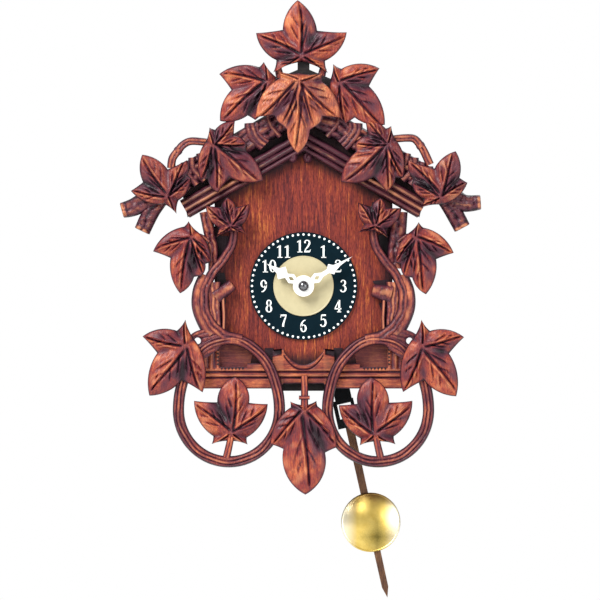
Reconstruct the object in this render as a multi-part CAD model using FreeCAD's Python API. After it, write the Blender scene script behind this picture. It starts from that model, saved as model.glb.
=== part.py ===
import FreeCAD, Part
import math
import os

from FreeCAD import Vector

# A small carved pendulum wall clock, in millimetres. +X is to the clock's right, +Z is up and the
# front faces -Y. The origin is the hanging hole, on the plane of the wall.
# "h" is height above the centre of the dial, and "y" is depth, more negative towards the front.

# ---- driving dimensions ----
HOLE_ABOVE_DIAL = 52.0      # hanging hole above the centre of the dial
HOLE_R = 3.5                # hanging hole
ROOF_PITCH = 30.0           # degrees
CASE_HALF = 33.0            # half the width of the case
CASE_FOOT = -38.0           # h of the underside of the case
BOARD = 3.0                 # thickness of the case boards
BOTTOM_T = 2.5              # thickness of the bottom board

# depth layers, back to front
Y_WALL = 0.0
Y_FRONT = -35.0             # front face of the front board
Y_RAIL = -38.5              # front face of the base rail, back of the loops
Y_FASCIA = -41.0            # front of the fascia mouldings
Y_FRAME = -42.0             # front face of branches, vines and loops
LEAF_T = 3.5                # thickness of a leaf
Y_LEAF = Y_FRAME - LEAF_T   # front of the leaves

DIAL_R = 20.0
DIAL_T = 1.2
CENTRE_R = 11.2             # gilt disc on the dial
CENTRE_T = 0.4

MOVEMENT = 56.0             # side of the square movement housing
MOVEMENT_BACK = -16.0       # open back edge of the housing
HOUSING_WALL = 1.2
COVER_T = 1.0
BAY_TOP = -11.8             # h of the top of the battery bay

MODULE = 0.4                # of every wheel in the motion work
GEAR_T = 1.0
FIT = 0.05                  # radial clearance of a running fit
BUSH_R = 3.0
TUBE_R = 2.0                # hour tube
ARBOR_R = 1.2               # minute arbor
ARBOR_TIP_R = 1.0           # its front end, which carries the minute hand
PIVOT_R = 0.8               # arbors of the minute wheel and the setting knob
MINUTE_ANGLE = 58.8         # clockwise from twelve
HOUR_ANGLE = -59.0

PIVOT_X = 0.7               # pendulum pivot
PIVOT_H = 22.0
SWING = 12.5                # tilt of the pendulum at rest, towards +X
HANGER_FRONT = -13.5
HANGER_BACK = -11.0
MAGNET_DROP = 27.8          # pivot to magnet
ROD_DROP = 76.5             # pivot to the top of the rod
ROD_END = 141.7             # pivot to the point of the rod
BOB_DROP = 112.9            # pivot to the middle of the bob
BOB_R = 11.1

SLOPE = math.tan(math.radians(ROOF_PITCH))
FRAME_BACK = Y_FRONT


# ---- geometry helpers ----
def at(x, h, y):
    return Vector(x, y, h - HOLE_ABOVE_DIAL)


def turn(degrees, reach, origin=(0.0, 0.0)):
    """The point at an angle and a distance from an origin, in the plane of the front."""
    angle = math.radians(degrees)
    return (origin[0] + reach * math.cos(angle), origin[1] + reach * math.sin(angle))


def block(x0, x1, y0, y1, h0, h1):
    return Part.makeBox(x1 - x0, y1 - y0, h1 - h0, at(x0, h0, y0))


def round_bar(x, h, radius, y0, y1):
    return Part.makeCylinder(radius, y1 - y0, at(x, h, y0), Vector(0, 1, 0))


def plate(edges, y0, y1):
    """Extrude a closed chain of edges drawn at y0 back to y1."""
    face = Part.Face(Part.Wire(Part.__sortEdges__(edges)))
    return face.extrude(Vector(0, y1 - y0, 0))


def outline(points, y):
    """Edges through the points. A step of two points is an arc through the first to the second."""
    edges = []
    here = points[0]
    for step in points[1:] + [points[0]]:
        if isinstance(step[0], tuple):
            middle, there = step
            edges.append(Part.Arc(at(*here, y), at(*middle, y), at(*there, y)).toShape())
        else:
            there = step
            if math.dist(here, there) > 1e-6:
                edges.append(Part.LineSegment(at(*here, y), at(*there, y)).toShape())
        here = there
    return edges


def panel(points, y0, y1):
    return plate(outline(points, y0), y0, y1)


def both_sides(half):
    """A closed outline from its right half, listed from the bottom to the top."""
    return half + [(-x, h) for x, h in reversed(half) if x > 0]


def mirrored(shape):
    return shape.mirror(Vector(0, 0, 0), Vector(1, 0, 0))


def joined(shapes):
    whole = shapes[0]
    for shape in shapes[1:]:
        whole = whole.fuse(shape)
    return whole.removeSplitter()


def spline(points, y):
    curve = Part.BSplineCurve()
    curve.interpolate([at(x, h, y) for x, h in points])
    return curve


def strand(points, widths, y0, y1):
    """A flat band along a smooth line, as wide as given at its start and its end."""
    middle = spline(points, y0)
    stations = 4 * len(points)
    sides = ([], [])
    for i in range(stations + 1):
        share = i / stations
        place = middle.FirstParameter + share * (middle.LastParameter - middle.FirstParameter)
        centre = middle.value(place)
        along = middle.tangent(place)[0]
        across = Vector(-along.z, 0, along.x)
        half = (widths[0] + share * (widths[1] - widths[0])) / 2
        for side, sign in zip(sides, (1, -1)):
            side.append(centre + across * (half * sign))
    edges = [Part.LineSegment(sides[0][0], sides[1][0]).toShape()]
    edges.append(Part.LineSegment(sides[0][-1], sides[1][-1]).toShape())
    for side in sides:
        curve = Part.BSplineCurve()
        curve.interpolate(side)
        edges.append(curve.toShape())
    return plate(edges, y0, y1)


def bar(start, end, width, y0, y1):
    """A straight flat bar between two points."""
    length = math.dist(start, end)
    across = ((start[1] - end[1]) / length * width / 2, (end[0] - start[0]) / length * width / 2)
    corners = [
        (start[0] + across[0], start[1] + across[1]),
        (end[0] + across[0], end[1] + across[1]),
        (end[0] - across[0], end[1] - across[1]),
        (start[0] - across[0], start[1] - across[1]),
    ]
    return panel(corners, y0, y1)


# ---- leaves ----
# A leaf is a ring of pointed lobes about the point where its veins meet. Each lobe is an angle
# from the leaf's heading and a reach as a share of its length. A valley lies nearer the shorter
# of its two lobes. A kind that differs on the right has a second list.
NOTCH = 0.5                 # how far a full valley cuts in between two lobes
FULL_GAP = 75.0             # degrees between lobes at which a valley is full
SINUS_GAP = 100.0           # a wider gap is the open heel of the leaf
SINUS = 0.32                # reach of the heel
TOP_SINUS = 0.15            # the top leaf is cut in almost to its veins
MAIN_BELLY = 0.11           # bulge of the main lobe's edges, as a share of the chord
BROAD_BELLY = 0.17          # the same on the broad leaves
BROAD_LEAVES = ("loop", "bottom")
FAR_BELLY = 0.13            # bulge of a side lobe's edge away from the main lobe
NEAR_BELLY = -0.02          # and of its edge beside the main lobe
BASE_BELLY = -0.06          # the lobes at the heel are hollow-edged
BASE_ANGLE = 100.0          # a lobe further round than this is at the heel

LOBES = {
    "crown_top": [(0, 1.0), (58, 0.9), (-65, 0.9), (112, 0.5), (-125, 0.47)],
    "crown_front": [(0, 1.0), (22, 0.66), (-21, 0.64), (49, 0.76), (-49, 0.78), (108, 0.35), (-114, 0.3)],
    "crown_side": [(0, 1.0), (32, 0.65), (-48, 0.8), (-116, 0.33)],
    "crown_side_right": [(0, 1.0), (38, 0.67), (-62, 0.7), (-148, 0.32)],
    "roof": [(0, 1.0), (38, 0.55), (83, 0.54), (136, 0.3), (-49, 0.78), (-75, 0.6)],
    "eave": [(0, 1.0), (51, 0.76), (177, 0.42), (-60, 0.85), (-84, 0.62)],
    "eave_right": [(0, 1.0), (44, 0.64), (-139, 0.45), (-60, 1.0), (-84, 0.65)],
    "side": [(0, 1.0), (25, 0.7), (48, 0.55), (-57, 0.72), (-155, 0.27)],
    "small": [(0, 1.0), (45, 1.12), (-47, 1.0), (123, 0.65), (-124, 0.65)],
    "lower": [(0, 1.0), (56, 0.82), (-67, 0.7), (-147, 0.42)],
    "loop": [(0, 1.0), (52, 0.87), (-46, 0.82), (120, 0.38), (-118, 0.33)],
    "bottom": [(0, 1.0), (40, 0.58), (-46, 0.57), (128, 0.18), (-122, 0.2)],
}

# kind: place of the vein centre and heading on the left, the same on the right, and the length
LEAF_PAIRS = {
    "crown_side": ((-13.0, 75.5, 219), (-13.0, 75.0, 222), 23.0),
    "eave": ((-50.5, 33.3, 121), (-50.5, 33.0, 109), 17.8),
    "roof": ((-33.5, 52.0, -35), (-31.5, 52.5, -38), 22.5),
    "side": ((-41.2, 18.3, 258), (-41.2, 18.0, 259), 21.5),
    "small": ((-27.0, 22.3, 96), (-26.5, 22.3, 101), 10.5),
    "lower": ((-44.0, -22.0, 235), (-43.8, -22.0, 236), 22.7),
    "loop": ((-26.7, -55.0, 86), (-26.7, -55.2, 85), 21.4),
}
CROWN_TOP = (-0.7, 84.6, 94, 21.2)
CROWN_FRONT = (-1.7, 75.8, -91, 27.0)
BOTTOM = (0.4, -46.0, -89.5, 31.2)
BOTTOM_STEM_X = (-1.0, 1.6)
BOTTOM_STEM_TOP = -33.0
BOTTOM_BEAD = (0.3, -41.2)  # round bead on the bottom leaf's stem
BOTTOM_BEAD_R = 2.0
LOOP_STEM_W = 2.6
LOOP_STEM_LEAN = 2.2        # the loop leaf's stem meets the loop this far outside its leaf
LOOP_LEAF = "loop"


def belly(kind, angle, side):
    """Bulge of the edge on one side of a lobe, where side is 1 towards greater angles."""
    if angle == 0:
        return BROAD_BELLY if kind in BROAD_LEAVES else MAIN_BELLY
    if abs(angle) > BASE_ANGLE:
        return BASE_BELLY
    return FAR_BELLY if side * angle > 0 else NEAR_BELLY


def leaf_points(kind, x, h, heading, length):
    """Tips and valleys of a leaf in turn, with each lobe's edges as arcs."""
    lobes = sorted(LOBES[kind])
    heel = TOP_SINUS if kind == "crown_top" else SINUS
    ring = []
    bulges = []
    for i, (angle, share) in enumerate(lobes):
        next_angle, next_share = lobes[(i + 1) % len(lobes)]
        gap = (next_angle - angle) % 360
        mean = math.sqrt(share * next_share) * length
        depth = heel if gap > SINUS_GAP else 1 - NOTCH * min(1.0, gap / FULL_GAP)
        valley = angle + gap * share / (share + next_share)
        ring.append(turn(heading + angle, share * length, (x, h)))
        ring.append(turn(heading + valley, mean * depth, (x, h)))
        bulges.append(belly(kind, angle, 1))
        bulges.append(belly(kind, next_angle, -1))
    points = [ring[0]]
    for here, there, bulge in zip(ring, ring[1:] + ring[:1], bulges):
        middle = ((here[0] + there[0]) / 2, (here[1] + there[1]) / 2)
        normal = (there[1] - here[1], here[0] - there[0])
        bulged = (middle[0] + bulge * normal[0], middle[1] + bulge * normal[1])
        points.append((bulged, there))
    return points


def leaf(kind, x, h, heading, length, front=Y_LEAF):
    return panel(leaf_points(kind, x, h, heading, length), front, front + LEAF_T)


def leaves():
    """Every leaf. A leaf that would run into an earlier one at its depth is carved to meet it."""
    made = {}
    made["crown_top_leaf"] = leaf("crown_top", *CROWN_TOP)
    for kind, (left, right, length) in LEAF_PAIRS.items():
        front = Y_FRAME if kind == LOOP_LEAF else Y_LEAF
        for side, place in (("left", left), ("right", right)):
            own = f"{kind}_{side}"
            shape = leaf(own if own in LOBES else kind, *place, length, front)
            if kind == LOOP_LEAF:
                foot = (place[0] - LOOP_STEM_LEAN, LOOP_H - LOOP_LOW + LOOP_BAND / 2)
                stem = bar(place[:2], foot, LOOP_STEM_W, front, Y_RAIL)
                shape = biggest(joined([shape, stem]).cut(loop_ring()))
            if side == "right":
                shape = mirrored(shape)
            made[f"{kind.split('_')[0]}_{side}_leaf"] = shape
    made["bottom_leaf"] = joined([
        leaf("bottom", *BOTTOM),
        block(*BOTTOM_STEM_X, Y_LEAF, Y_FRAME, BOTTOM[1], BOTTOM_STEM_TOP),
        block(*BOTTOM_STEM_X, Y_FRAME, Y_RAIL, BOTTOM_STEM_TOP - 4.0, BOTTOM_STEM_TOP),
        round_bar(*BOTTOM_BEAD, BOTTOM_BEAD_R, Y_LEAF, Y_FRAME),
    ])
    names = list(made)
    for i, name in enumerate(names):
        for earlier in names[:i]:
            if made[name].common(made[earlier]).Volume > 1e-6:
                made[name] = biggest(made[name].cut(made[earlier]))
    made["crown_front_leaf"] = leaf("crown_front", *CROWN_FRONT, Y_LEAF - LEAF_T)
    return made


def biggest(shape):
    return max(shape.Solids, key=lambda solid: solid.Volume)


# ---- case ----
ROOF_OUT = 66.0             # h of the ridge, outside
ROOF_IN = ROOF_OUT - BOARD / math.cos(math.radians(ROOF_PITCH))
ROOF_HALF = 42.0            # x of the eaves
GABLE_TOP = 70.0            # h of the top of the front board
INSIDE_FOOT = CASE_FOOT + BOTTOM_T
APRON_HALF = 7.4            # dark lip under the middle of the bottom board
APRON_DROP = 0.9
SLOT_HALF = 20.5            # pendulum slot
SLOT_FRONT = -16.5
SLOT_BACK = -8.0
KNOB_X = 18.8
KNOB_HOLE_R = 8.0
SCREW_X = CASE_HALF - BOARD / 2
SCREW_HEIGHTS = (-28.0, 36.0)
SCREW_R = 0.8
SCREW_HEAD_R = 1.4
SCREW_HEAD_T = 1.2
SCREW_DEPTH = -11.0


def under_roof(x):
    return ROOF_IN - SLOPE * x


def screw_places():
    return [(side * SCREW_X, h) for side in (-1, 1) for h in SCREW_HEIGHTS]


def board_screws():
    screws = []
    for x, h in screw_places():
        head = round_bar(x, h, SCREW_HEAD_R, -SCREW_HEAD_T, Y_WALL)
        screws.append(joined([head, round_bar(x, h, SCREW_R, SCREW_DEPTH, -SCREW_HEAD_T)]))
    return Part.makeCompound(screws)


def front_board():
    half = [
        (CASE_HALF, INSIDE_FOOT), (CASE_HALF, 31.0), (43.0, 25.5),
        (47.0, GABLE_TOP - SLOPE * 47.0), (0.0, GABLE_TOP),
    ]
    board = panel(both_sides(half), Y_FRONT, Y_FRONT + BOARD)
    return board.cut(round_bar(0, 0, BUSH_R, Y_FRONT, Y_FRONT + BOARD))


def back_board():
    half = [(CASE_HALF, CASE_FOOT), (CASE_HALF, under_roof(CASE_HALF)), (0.0, ROOF_IN)]
    board = panel(both_sides(half), -BOARD, Y_WALL)
    board = board.cut(round_bar(0, HOLE_ABOVE_DIAL, HOLE_R, -BOARD, Y_WALL))
    board = board.cut(round_bar(KNOB_X, 0, KNOB_HOLE_R, -BOARD, Y_WALL))
    return board.cut(board_screws())


def side_wall():
    inner = CASE_HALF - BOARD
    corners = [
        (inner, INSIDE_FOOT), (CASE_HALF, INSIDE_FOOT),
        (CASE_HALF, under_roof(CASE_HALF)), (inner, under_roof(inner)),
    ]
    return panel(corners, Y_FRONT + BOARD, -BOARD).cut(board_screws())


def bottom_board():
    half = [
        (APRON_HALF, CASE_FOOT - APRON_DROP), (APRON_HALF + APRON_DROP, CASE_FOOT),
        (CASE_HALF, CASE_FOOT), (CASE_HALF, INSIDE_FOOT),
    ]
    points = both_sides(half)
    board = panel(points, Y_FRONT, -BOARD)
    slot = block(PIVOT_X - SLOT_HALF, PIVOT_X + SLOT_HALF, SLOT_FRONT, SLOT_BACK, -45.0, -30.0)
    return board.cut(slot)


def roof_board():
    corners = [
        (0.0, ROOF_IN), (0.0, ROOF_OUT),
        (ROOF_HALF, ROOF_OUT - SLOPE * ROOF_HALF), (ROOF_HALF, under_roof(ROOF_HALF)),
    ]
    return panel(corners, Y_FRONT + BOARD, Y_WALL)


# ---- carved frame ----
FASCIA_LOW = 49.6           # h where the two lower fascia edges meet
FASCIA_W = 7.4
FASCIA_END = 42.2           # x of the lower end
GROOVE_R = 0.75
BRANCH_TOP = 71.4           # h where the two upper branch edges meet
BRANCH_DROP = 10.6          # height of a branch, measured straight down
BRANCH_BEND = 50.0          # x where a branch leaves the slope of the roof
BRANCH_ENDS = {             # two sawn stubs at the outer end of each branch
    "left": [
        (63.0, 32.5), (68.2, 30.6), (67.7, 25.0), (62.6, 25.6), (62.6, 21.4), (57.0, 19.0),
        (51.0, 31.0), (46.0, 34.2),
    ],
    "right": [
        (60.2, 32.7), (64.5, 33.6), (66.3, 28.5), (61.0, 26.8), (62.0, 22.3), (55.7, 20.5),
        (50.2, 30.2), (45.0, 34.8),
    ],
}
STEM_LINES = {
    "left": [(36.0, 53.2), (41.5, 53.6), (44.5, 52.3), (46.5, 50.0), (48.5, 47.2), (49.0, 45.0)],
    "right": [(33.4, 54.4), (38.0, 54.8), (41.1, 54.4), (43.4, 51.8), (45.0, 49.0), (46.2, 46.2)],
}
STEM_WIDTHS = (2.8, 3.1)
LOOP_X = 27.6               # where a loop is widest
LOOP_H = -46.0
LOOP_WIDE = 20.8            # outer half width
LOOP_LOW = 21.2             # reach below the widest place
LOOP_HIGH = 28.4            # reach above it
LOOP_BAND = 4.2
EYE = (39.2, -20.3)         # small pierced hole where a loop starts
EYE_HOLE_R = 1.2
EYE_PAD = [                 # solid wood round the hole, between the loop and the winding
    (-44.0, -22.0), ((-41.2, -17.4), (-36.0, -15.8)), (-31.0, -16.6), (-29.5, -21.0),
    (-37.0, -27.0), (-42.5, -25.5),
]
GROOVE_HEIGHTS = (-31.9, -34.0)
RAIL_HALF = 37.3
RAIL_RISE = 1.8             # depth of the notch in the rail's lower edge
RAIL_NOTCH = 7.4            # half width of that notch at its top
RAIL_POST = 31.4            # inner side of the rail's end posts
RAIL_POST_TOP = -21.0
RAIL_SHELF = -30.2
RAIL_DIP = -29.2            # lowest place of the dished upper edge
RAIL_GROOVE_R = 0.5


def fascia():
    """A moulding of three ridges along the right slope, mitred at the ridge."""
    drop = math.cos(math.radians(ROOF_PITCH))
    low_end = (FASCIA_END, FASCIA_LOW - SLOPE * FASCIA_END)
    high_end = turn(90 - ROOF_PITCH, FASCIA_W, low_end)
    top = FASCIA_LOW + FASCIA_W / drop
    body = panel([(0.0, FASCIA_LOW), low_end, high_end, (0.0, top)], Y_FASCIA, FRAME_BACK)
    along = Vector(math.cos(math.radians(ROOF_PITCH)), 0, -math.sin(math.radians(ROOF_PITCH)))
    for share in (1 / 3, 2 / 3):
        start = at(0.0, FASCIA_LOW + share * FASCIA_W / drop, Y_FASCIA) - along * 10
        body = body.cut(Part.makeCylinder(GROOVE_R, 80, start, along))
    return body


def roof_branch(side):
    """The bark branch along the right slope, with its own side's stubs at its end."""
    top = (0.0, BRANCH_TOP)
    bend = (BRANCH_BEND, BRANCH_TOP - SLOPE * BRANCH_BEND)
    foot = (0.0, BRANCH_TOP - BRANCH_DROP)
    return panel([top, bend] + BRANCH_ENDS[side] + [foot], Y_FRAME, FRAME_BACK)


def roof_stem(side):
    stem = strand(STEM_LINES[side], STEM_WIDTHS, Y_FRAME, Y_FRAME + 3.0)
    return biggest(stem.cut(roof_branch(side)))


def crown_backing():
    half = [(14.0, BRANCH_TOP - SLOPE * 14.0), (14.0, 75.0), (2.2, 80.0), (2.2, 86.0)]
    points = half + [(-x, h) for x, h in reversed(half)] + [(0.0, BRANCH_TOP)]
    return panel(points, Y_FRAME, FRAME_BACK)


def half_oval(reach, inset, y0, y1):
    """The half of an oval above the loop's widest place, or below it if the reach is negative."""
    wide = LOOP_WIDE - inset
    high = abs(reach) - inset
    sign = math.copysign(1.0, reach)
    centre = at(-LOOP_X, LOOP_H, y0)
    upright = centre + Vector(0, 0, high)
    sideways = centre + Vector(wide, 0, 0)
    if high < wide:
        upright, sideways = sideways, upright
    ellipse = Part.Face(Part.Wire(Part.Ellipse(upright, sideways, centre).toShape()))
    disc = ellipse.extrude(Vector(0, y1 - y0, 0))
    edge = LOOP_H + sign * (high + 1.0)
    return disc.common(block(-LOOP_X - 30.0, -LOOP_X + 30.0, y0, y1, min(LOOP_H, edge), max(LOOP_H, edge)))


def loop_disc(inset, y0, y1):
    """An egg shape with its narrow end up."""
    return joined([half_oval(LOOP_HIGH, inset, y0, y1), half_oval(-LOOP_LOW, inset, y0, y1)])


def loop_ring():
    return loop_disc(0.0, Y_FRAME, Y_RAIL).cut(loop_disc(LOOP_BAND, Y_FRAME, Y_RAIL))


def loop():
    """The left loop, an egg-shaped ring with a pierced pad at its shoulder."""
    pad = panel(EYE_PAD, Y_FRAME, Y_RAIL).cut(loop_disc(LOOP_BAND, Y_FRAME, Y_RAIL))
    hole = round_bar(-EYE[0], EYE[1], EYE_HOLE_R, Y_FRAME, Y_RAIL)
    return joined([loop_ring(), pad]).cut(hole)


WINDING = [
    (-27.0, 31.0), (-25.8, 18.0), (-28.5, 11.0), (-34.2, 5.0),
    (-36.8, -1.5), (-36.4, -9.0), (-32.5, -16.0), (-27.5, -20.0),
]
POST = [(-35.2, 27.5), (-34.8, 15.0), (-34.6, 4.0), (-34.2, -6.0), (-32.5, -15.0)]
SHOOT = [(-36.0, 5.5), (-40.4, -2.0), (-39.9, -9.5), (-35.2, -18.5)]
TWIG = [(-29.6, -4.0), (-29.4, -12.0), (-29.8, -19.0)]
SLAB = [(-36.0, 1.0), (-31.6, 0.3), (-30.6, -5.0), (-30.4, -15.2), (-33.0, -17.0), (-36.0, -10.0)]
HORNS = {                   # a sawn side branch, both as on the left
    "left": [
        (-36.0, 1.0), (-31.6, 0.3), (-27.4, 2.2), (-25.0, -1.0), (-25.2, -2.6), (-28.6, -5.4),
        (-36.0, -8.0),
    ],
    "right": [
        (-36.0, 1.0), (-31.0, 0.2), (-25.4, 0.7), (-25.2, -3.4), (-28.0, -6.4), (-30.0, -8.8),
        (-36.0, -8.0),
    ],
}


def vine(side):
    """A vine as on the left: winding stem, bark post, outer shoot, slab, twig and sawn side branch."""
    y0 = Y_FRAME
    y1 = FRAME_BACK
    shape = joined([
        strand(WINDING, (3.2, 4.8), y0, y1),
        strand(POST, (6.0, 4.0), y0, y1),
        strand(SHOOT, (2.6, 3.4), y0, y1),
        strand(TWIG, (1.6, 1.6), y0, y1),
        panel(SLAB, y0, y1),
        panel(HORNS[side], y0, y1),
    ])
    return biggest(shape.cut(loop_disc(0.0, y0, y1)).cut(panel(EYE_PAD, y0, y1)))


def base_rail():
    half = [
        (RAIL_NOTCH, CASE_FOOT + RAIL_RISE), (RAIL_NOTCH + RAIL_RISE / 2, CASE_FOOT),
        (RAIL_HALF, CASE_FOOT), (RAIL_HALF, RAIL_POST_TOP), (RAIL_POST, RAIL_POST_TOP),
        (RAIL_POST, RAIL_SHELF), (12.5, RAIL_SHELF), (11.8, -24.0), (7.4, -23.7),
    ]
    left = [(-x, h) for x, h in reversed(half)]
    points = half + [((0.0, RAIL_DIP), left[0])] + left[1:]
    rail = panel(points, Y_RAIL, FRAME_BACK)
    for h in GROOVE_HEIGHTS:
        start = at(-RAIL_HALF, h, Y_RAIL)
        groove = Part.makeCylinder(RAIL_GROOVE_R, 2 * RAIL_HALF, start, Vector(1, 0, 0))
        rail = rail.cut(groove)
    return rail


# ---- dial and hands ----
HUB_R = 3.9
WINDOW_HALF = 0.8           # pierced diamond in each hand
WINDOW_REACH = 1.2
MINUTE_HAND = (21.1, 5.8)   # length, and height of the pierced diamond
HOUR_HAND = (15.9, 5.3)
BUSH_NUT_R = 3.8
BUSH_FRONT = -38.4
HOUR_HAND_Y = (-39.8, -39.0)
MINUTE_HAND_Y = (-40.9, -40.2)
NUT_R = 2.0
MINUTE_HALF = [(0.9, 3.2), (1.9, 5.8), (0.8, 8.2), (0.8, 10.6), (2.2, 12.0), (0.9, 13.4), (0.6, 15.5)]
HOUR_HALF = [(1.0, 3.2), (1.9, 5.3), (0.9, 7.4), (2.7, 9.4), (1.1, 10.9), (0.7, 12.4)]


def ring(radius, bore, y0, y1):
    return round_bar(0, 0, radius, y0, y1).cut(round_bar(0, 0, bore, y0, y1))


def hand(half, length, window, angle, depth, bore):
    """A pierced hand pointing at twelve, then turned clockwise about the dial centre."""
    y0, y1 = depth
    blade = panel(both_sides(half + [(0.0, length)]), y0, y1)
    diamond = panel([
        (WINDOW_HALF, window), (0.0, window + WINDOW_REACH),
        (-WINDOW_HALF, window), (0.0, window - WINDOW_REACH),
    ], y0, y1)
    shape = joined([blade, round_bar(0, 0, HUB_R, y0, y1)])
    shape = shape.cut(diamond).cut(round_bar(0, 0, bore, y0, y1))
    shape.rotate(at(0, 0, 0), Vector(0, 1, 0), angle)
    return shape


def hand_nut():
    """A domed cap nut on the tip of the minute arbor."""
    seat = MINUTE_HAND_Y[0]
    dome = Part.makeSphere(NUT_R, at(0, 0, seat)).common(round_bar(0, 0, NUT_R, seat - NUT_R, seat))
    return dome.cut(round_bar(0, 0, ARBOR_TIP_R, seat - 0.5, seat))


# ---- motion work ----
CANNON_TEETH = 10
HOUR_TEETH = 32
MINUTE_TEETH = 30
MINUTE_PINION_TEETH = 8
KNOB_TEETH = 24
MINUTE_WHEEL_X = (CANNON_TEETH + MINUTE_TEETH) / 2 * MODULE
HOUR_WHEEL_Y = -29.6
MINUTE_WHEEL_Y = -28.2
PINION_T = 1.5
PIVOT_FRONT = -31.6
END_PLAY = 0.1
ARBOR_BACK = -18.0
MINUTE_PIVOT_BACK = -15.3
KNOB_Y = (-14.0, -9.0)
KNOB_R = 4.5
KNOB_SHAFT_R = 1.0
FLUTES = 16
FLUTE_R = 0.5


def gear(x, teeth, y, thickness, phase):
    """A spur wheel with straight-flanked teeth, thinned for backlash. Phase is a share of a tooth."""
    pitch_r = teeth * MODULE / 2
    root = pitch_r - 1.15 * MODULE
    tip = pitch_r + 0.8 * MODULE
    step = 360.0 / teeth
    points = []
    for i in range(teeth):
        middle = (i + phase) * step
        for angle, radius in ((-0.29, root), (-0.10, tip), (0.10, tip), (0.29, root)):
            points.append(turn(middle + angle * step, radius, (x, 0.0)))
    return panel(points, y, y + thickness)


def minute_arbor():
    shape = joined([
        round_bar(0, 0, ARBOR_R, MINUTE_HAND_Y[1], ARBOR_BACK),
        round_bar(0, 0, ARBOR_TIP_R, MINUTE_HAND_Y[0] - 0.5, MINUTE_HAND_Y[1]),
        gear(0.0, CANNON_TEETH, MINUTE_WHEEL_Y, GEAR_T, 0.0),
    ])
    return shape


def hour_wheel():
    back = HOUR_WHEEL_Y + GEAR_T
    shape = joined([
        gear(0.0, HOUR_TEETH, HOUR_WHEEL_Y, GEAR_T, 0.0),
        round_bar(0, 0, TUBE_R, HOUR_HAND_Y[0], back),
    ])
    return shape.cut(round_bar(0, 0, ARBOR_R + FIT, HOUR_HAND_Y[0], back))


def minute_wheel():
    return joined([
        gear(MINUTE_WHEEL_X, MINUTE_TEETH, MINUTE_WHEEL_Y, GEAR_T, 0.5),
        gear(MINUTE_WHEEL_X, MINUTE_PINION_TEETH, HOUR_WHEEL_Y, PINION_T, 0.5),
        round_bar(MINUTE_WHEEL_X, 0, PIVOT_R, PIVOT_FRONT, MINUTE_PIVOT_BACK),
    ])


def set_knob():
    """The setting wheel, its shaft and the finger knob at the back."""
    knob = round_bar(KNOB_X, 0, KNOB_R, *KNOB_Y)
    for i in range(FLUTES):
        x, h = turn(360.0 * i / FLUTES, KNOB_R + 0.2, (KNOB_X, 0.0))
        knob = knob.cut(round_bar(x, h, FLUTE_R, *KNOB_Y))
    return joined([
        knob,
        round_bar(KNOB_X, 0, KNOB_SHAFT_R, MINUTE_WHEEL_Y + GEAR_T, KNOB_Y[0]),
        round_bar(KNOB_X, 0, PIVOT_R, PIVOT_FRONT, MINUTE_WHEEL_Y),
        gear(KNOB_X, KNOB_TEETH, MINUTE_WHEEL_Y, GEAR_T, 0.0),
    ])


# ---- movement ----
FLANGE_R = 4.5
FLANGE_T = 0.8
BOSS_R = 2.2                # rear bearing of the minute arbor
BOSS_FRONT = -21.0
BORE_FRONT = -17.0
PIN_R = 1.0                 # pendulum pivot pin
PIN_BACK = -10.6
PIN_HEAD_R = 1.8
PIN_HEAD_T = 0.6
NUB_R = 2.7
CONTACT_HALF = 5.0
CONTACT_T = 0.4
SPRING_R = (4.0, 2.5)
CIRCUIT = (-25.0, -8.0, 2.0, 24.0)      # x and h of the circuit board's edges
CIRCUIT_T = 1.0
CHIP = (-16.0, 7.0, 3.0)                # x, h and radius of its covered chip
CHIP_T = 1.2
COIL_ENDS = (-24.0, -10.0)              # x of the motor coil's end cheeks
COIL_H = 18.0
COIL_HALF = 3.5
COIL_R = 3.2
DRIVE_COIL_R = 3.4
DRIVE_COIL_BORE = 1.5
DRIVE_COIL_FRONT = -20.5
BATTERY_R = 7.1
BATTERY_H = -19.3
BATTERY_Y = -23.4
BATTERY_X = (-25.2, 24.3)
NUB_END = 25.3
INSIDE = MOVEMENT / 2 - HOUSING_WALL
HOUSING_FRONT = Y_FRONT + BOARD
HOUSING_INNER = HOUSING_FRONT + HOUSING_WALL


def movement_case():
    half = MOVEMENT / 2
    shell = block(-half, half, HOUSING_FRONT, MOVEMENT_BACK, -half, half)
    gear_room = block(-INSIDE, INSIDE, HOUSING_INNER, MOVEMENT_BACK, BAY_TOP + HOUSING_WALL, INSIDE)
    battery_bay = block(-INSIDE, INSIDE, HOUSING_INNER, MOVEMENT_BACK, -INSIDE, BAY_TOP)
    shell = shell.cut(gear_room).cut(battery_bay)
    shell = shell.cut(round_bar(0, 0, BUSH_R, HOUSING_FRONT, HOUSING_INNER))
    for x in (MINUTE_WHEEL_X, KNOB_X):
        shell = shell.cut(round_bar(x, 0, PIVOT_R + FIT, PIVOT_FRONT - END_PLAY, HOUSING_INNER))
    return shell


def movement_cover():
    """The cover over the wheels, with the rear bearings and the pendulum's pivot pin."""
    half = MOVEMENT / 2
    back = MOVEMENT_BACK + COVER_T
    cover = block(-half, half, MOVEMENT_BACK, back, BAY_TOP, half)
    boss = round_bar(0, 0, BOSS_R, BOSS_FRONT, MOVEMENT_BACK)
    pin = round_bar(PIVOT_X, PIVOT_H, PIN_R, back, PIN_BACK)
    pin_head = round_bar(PIVOT_X, PIVOT_H, PIN_HEAD_R, PIN_BACK, PIN_BACK + PIN_HEAD_T)
    cover = joined([cover, boss, pin, pin_head])
    cover = cover.cut(round_bar(0, 0, ARBOR_R + FIT, BOSS_FRONT, BORE_FRONT))
    cover = cover.cut(round_bar(MINUTE_WHEEL_X, 0, PIVOT_R + FIT, MOVEMENT_BACK, back))
    return cover.cut(round_bar(KNOB_X, 0, KNOB_SHAFT_R + FIT, MOVEMENT_BACK, back))


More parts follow.
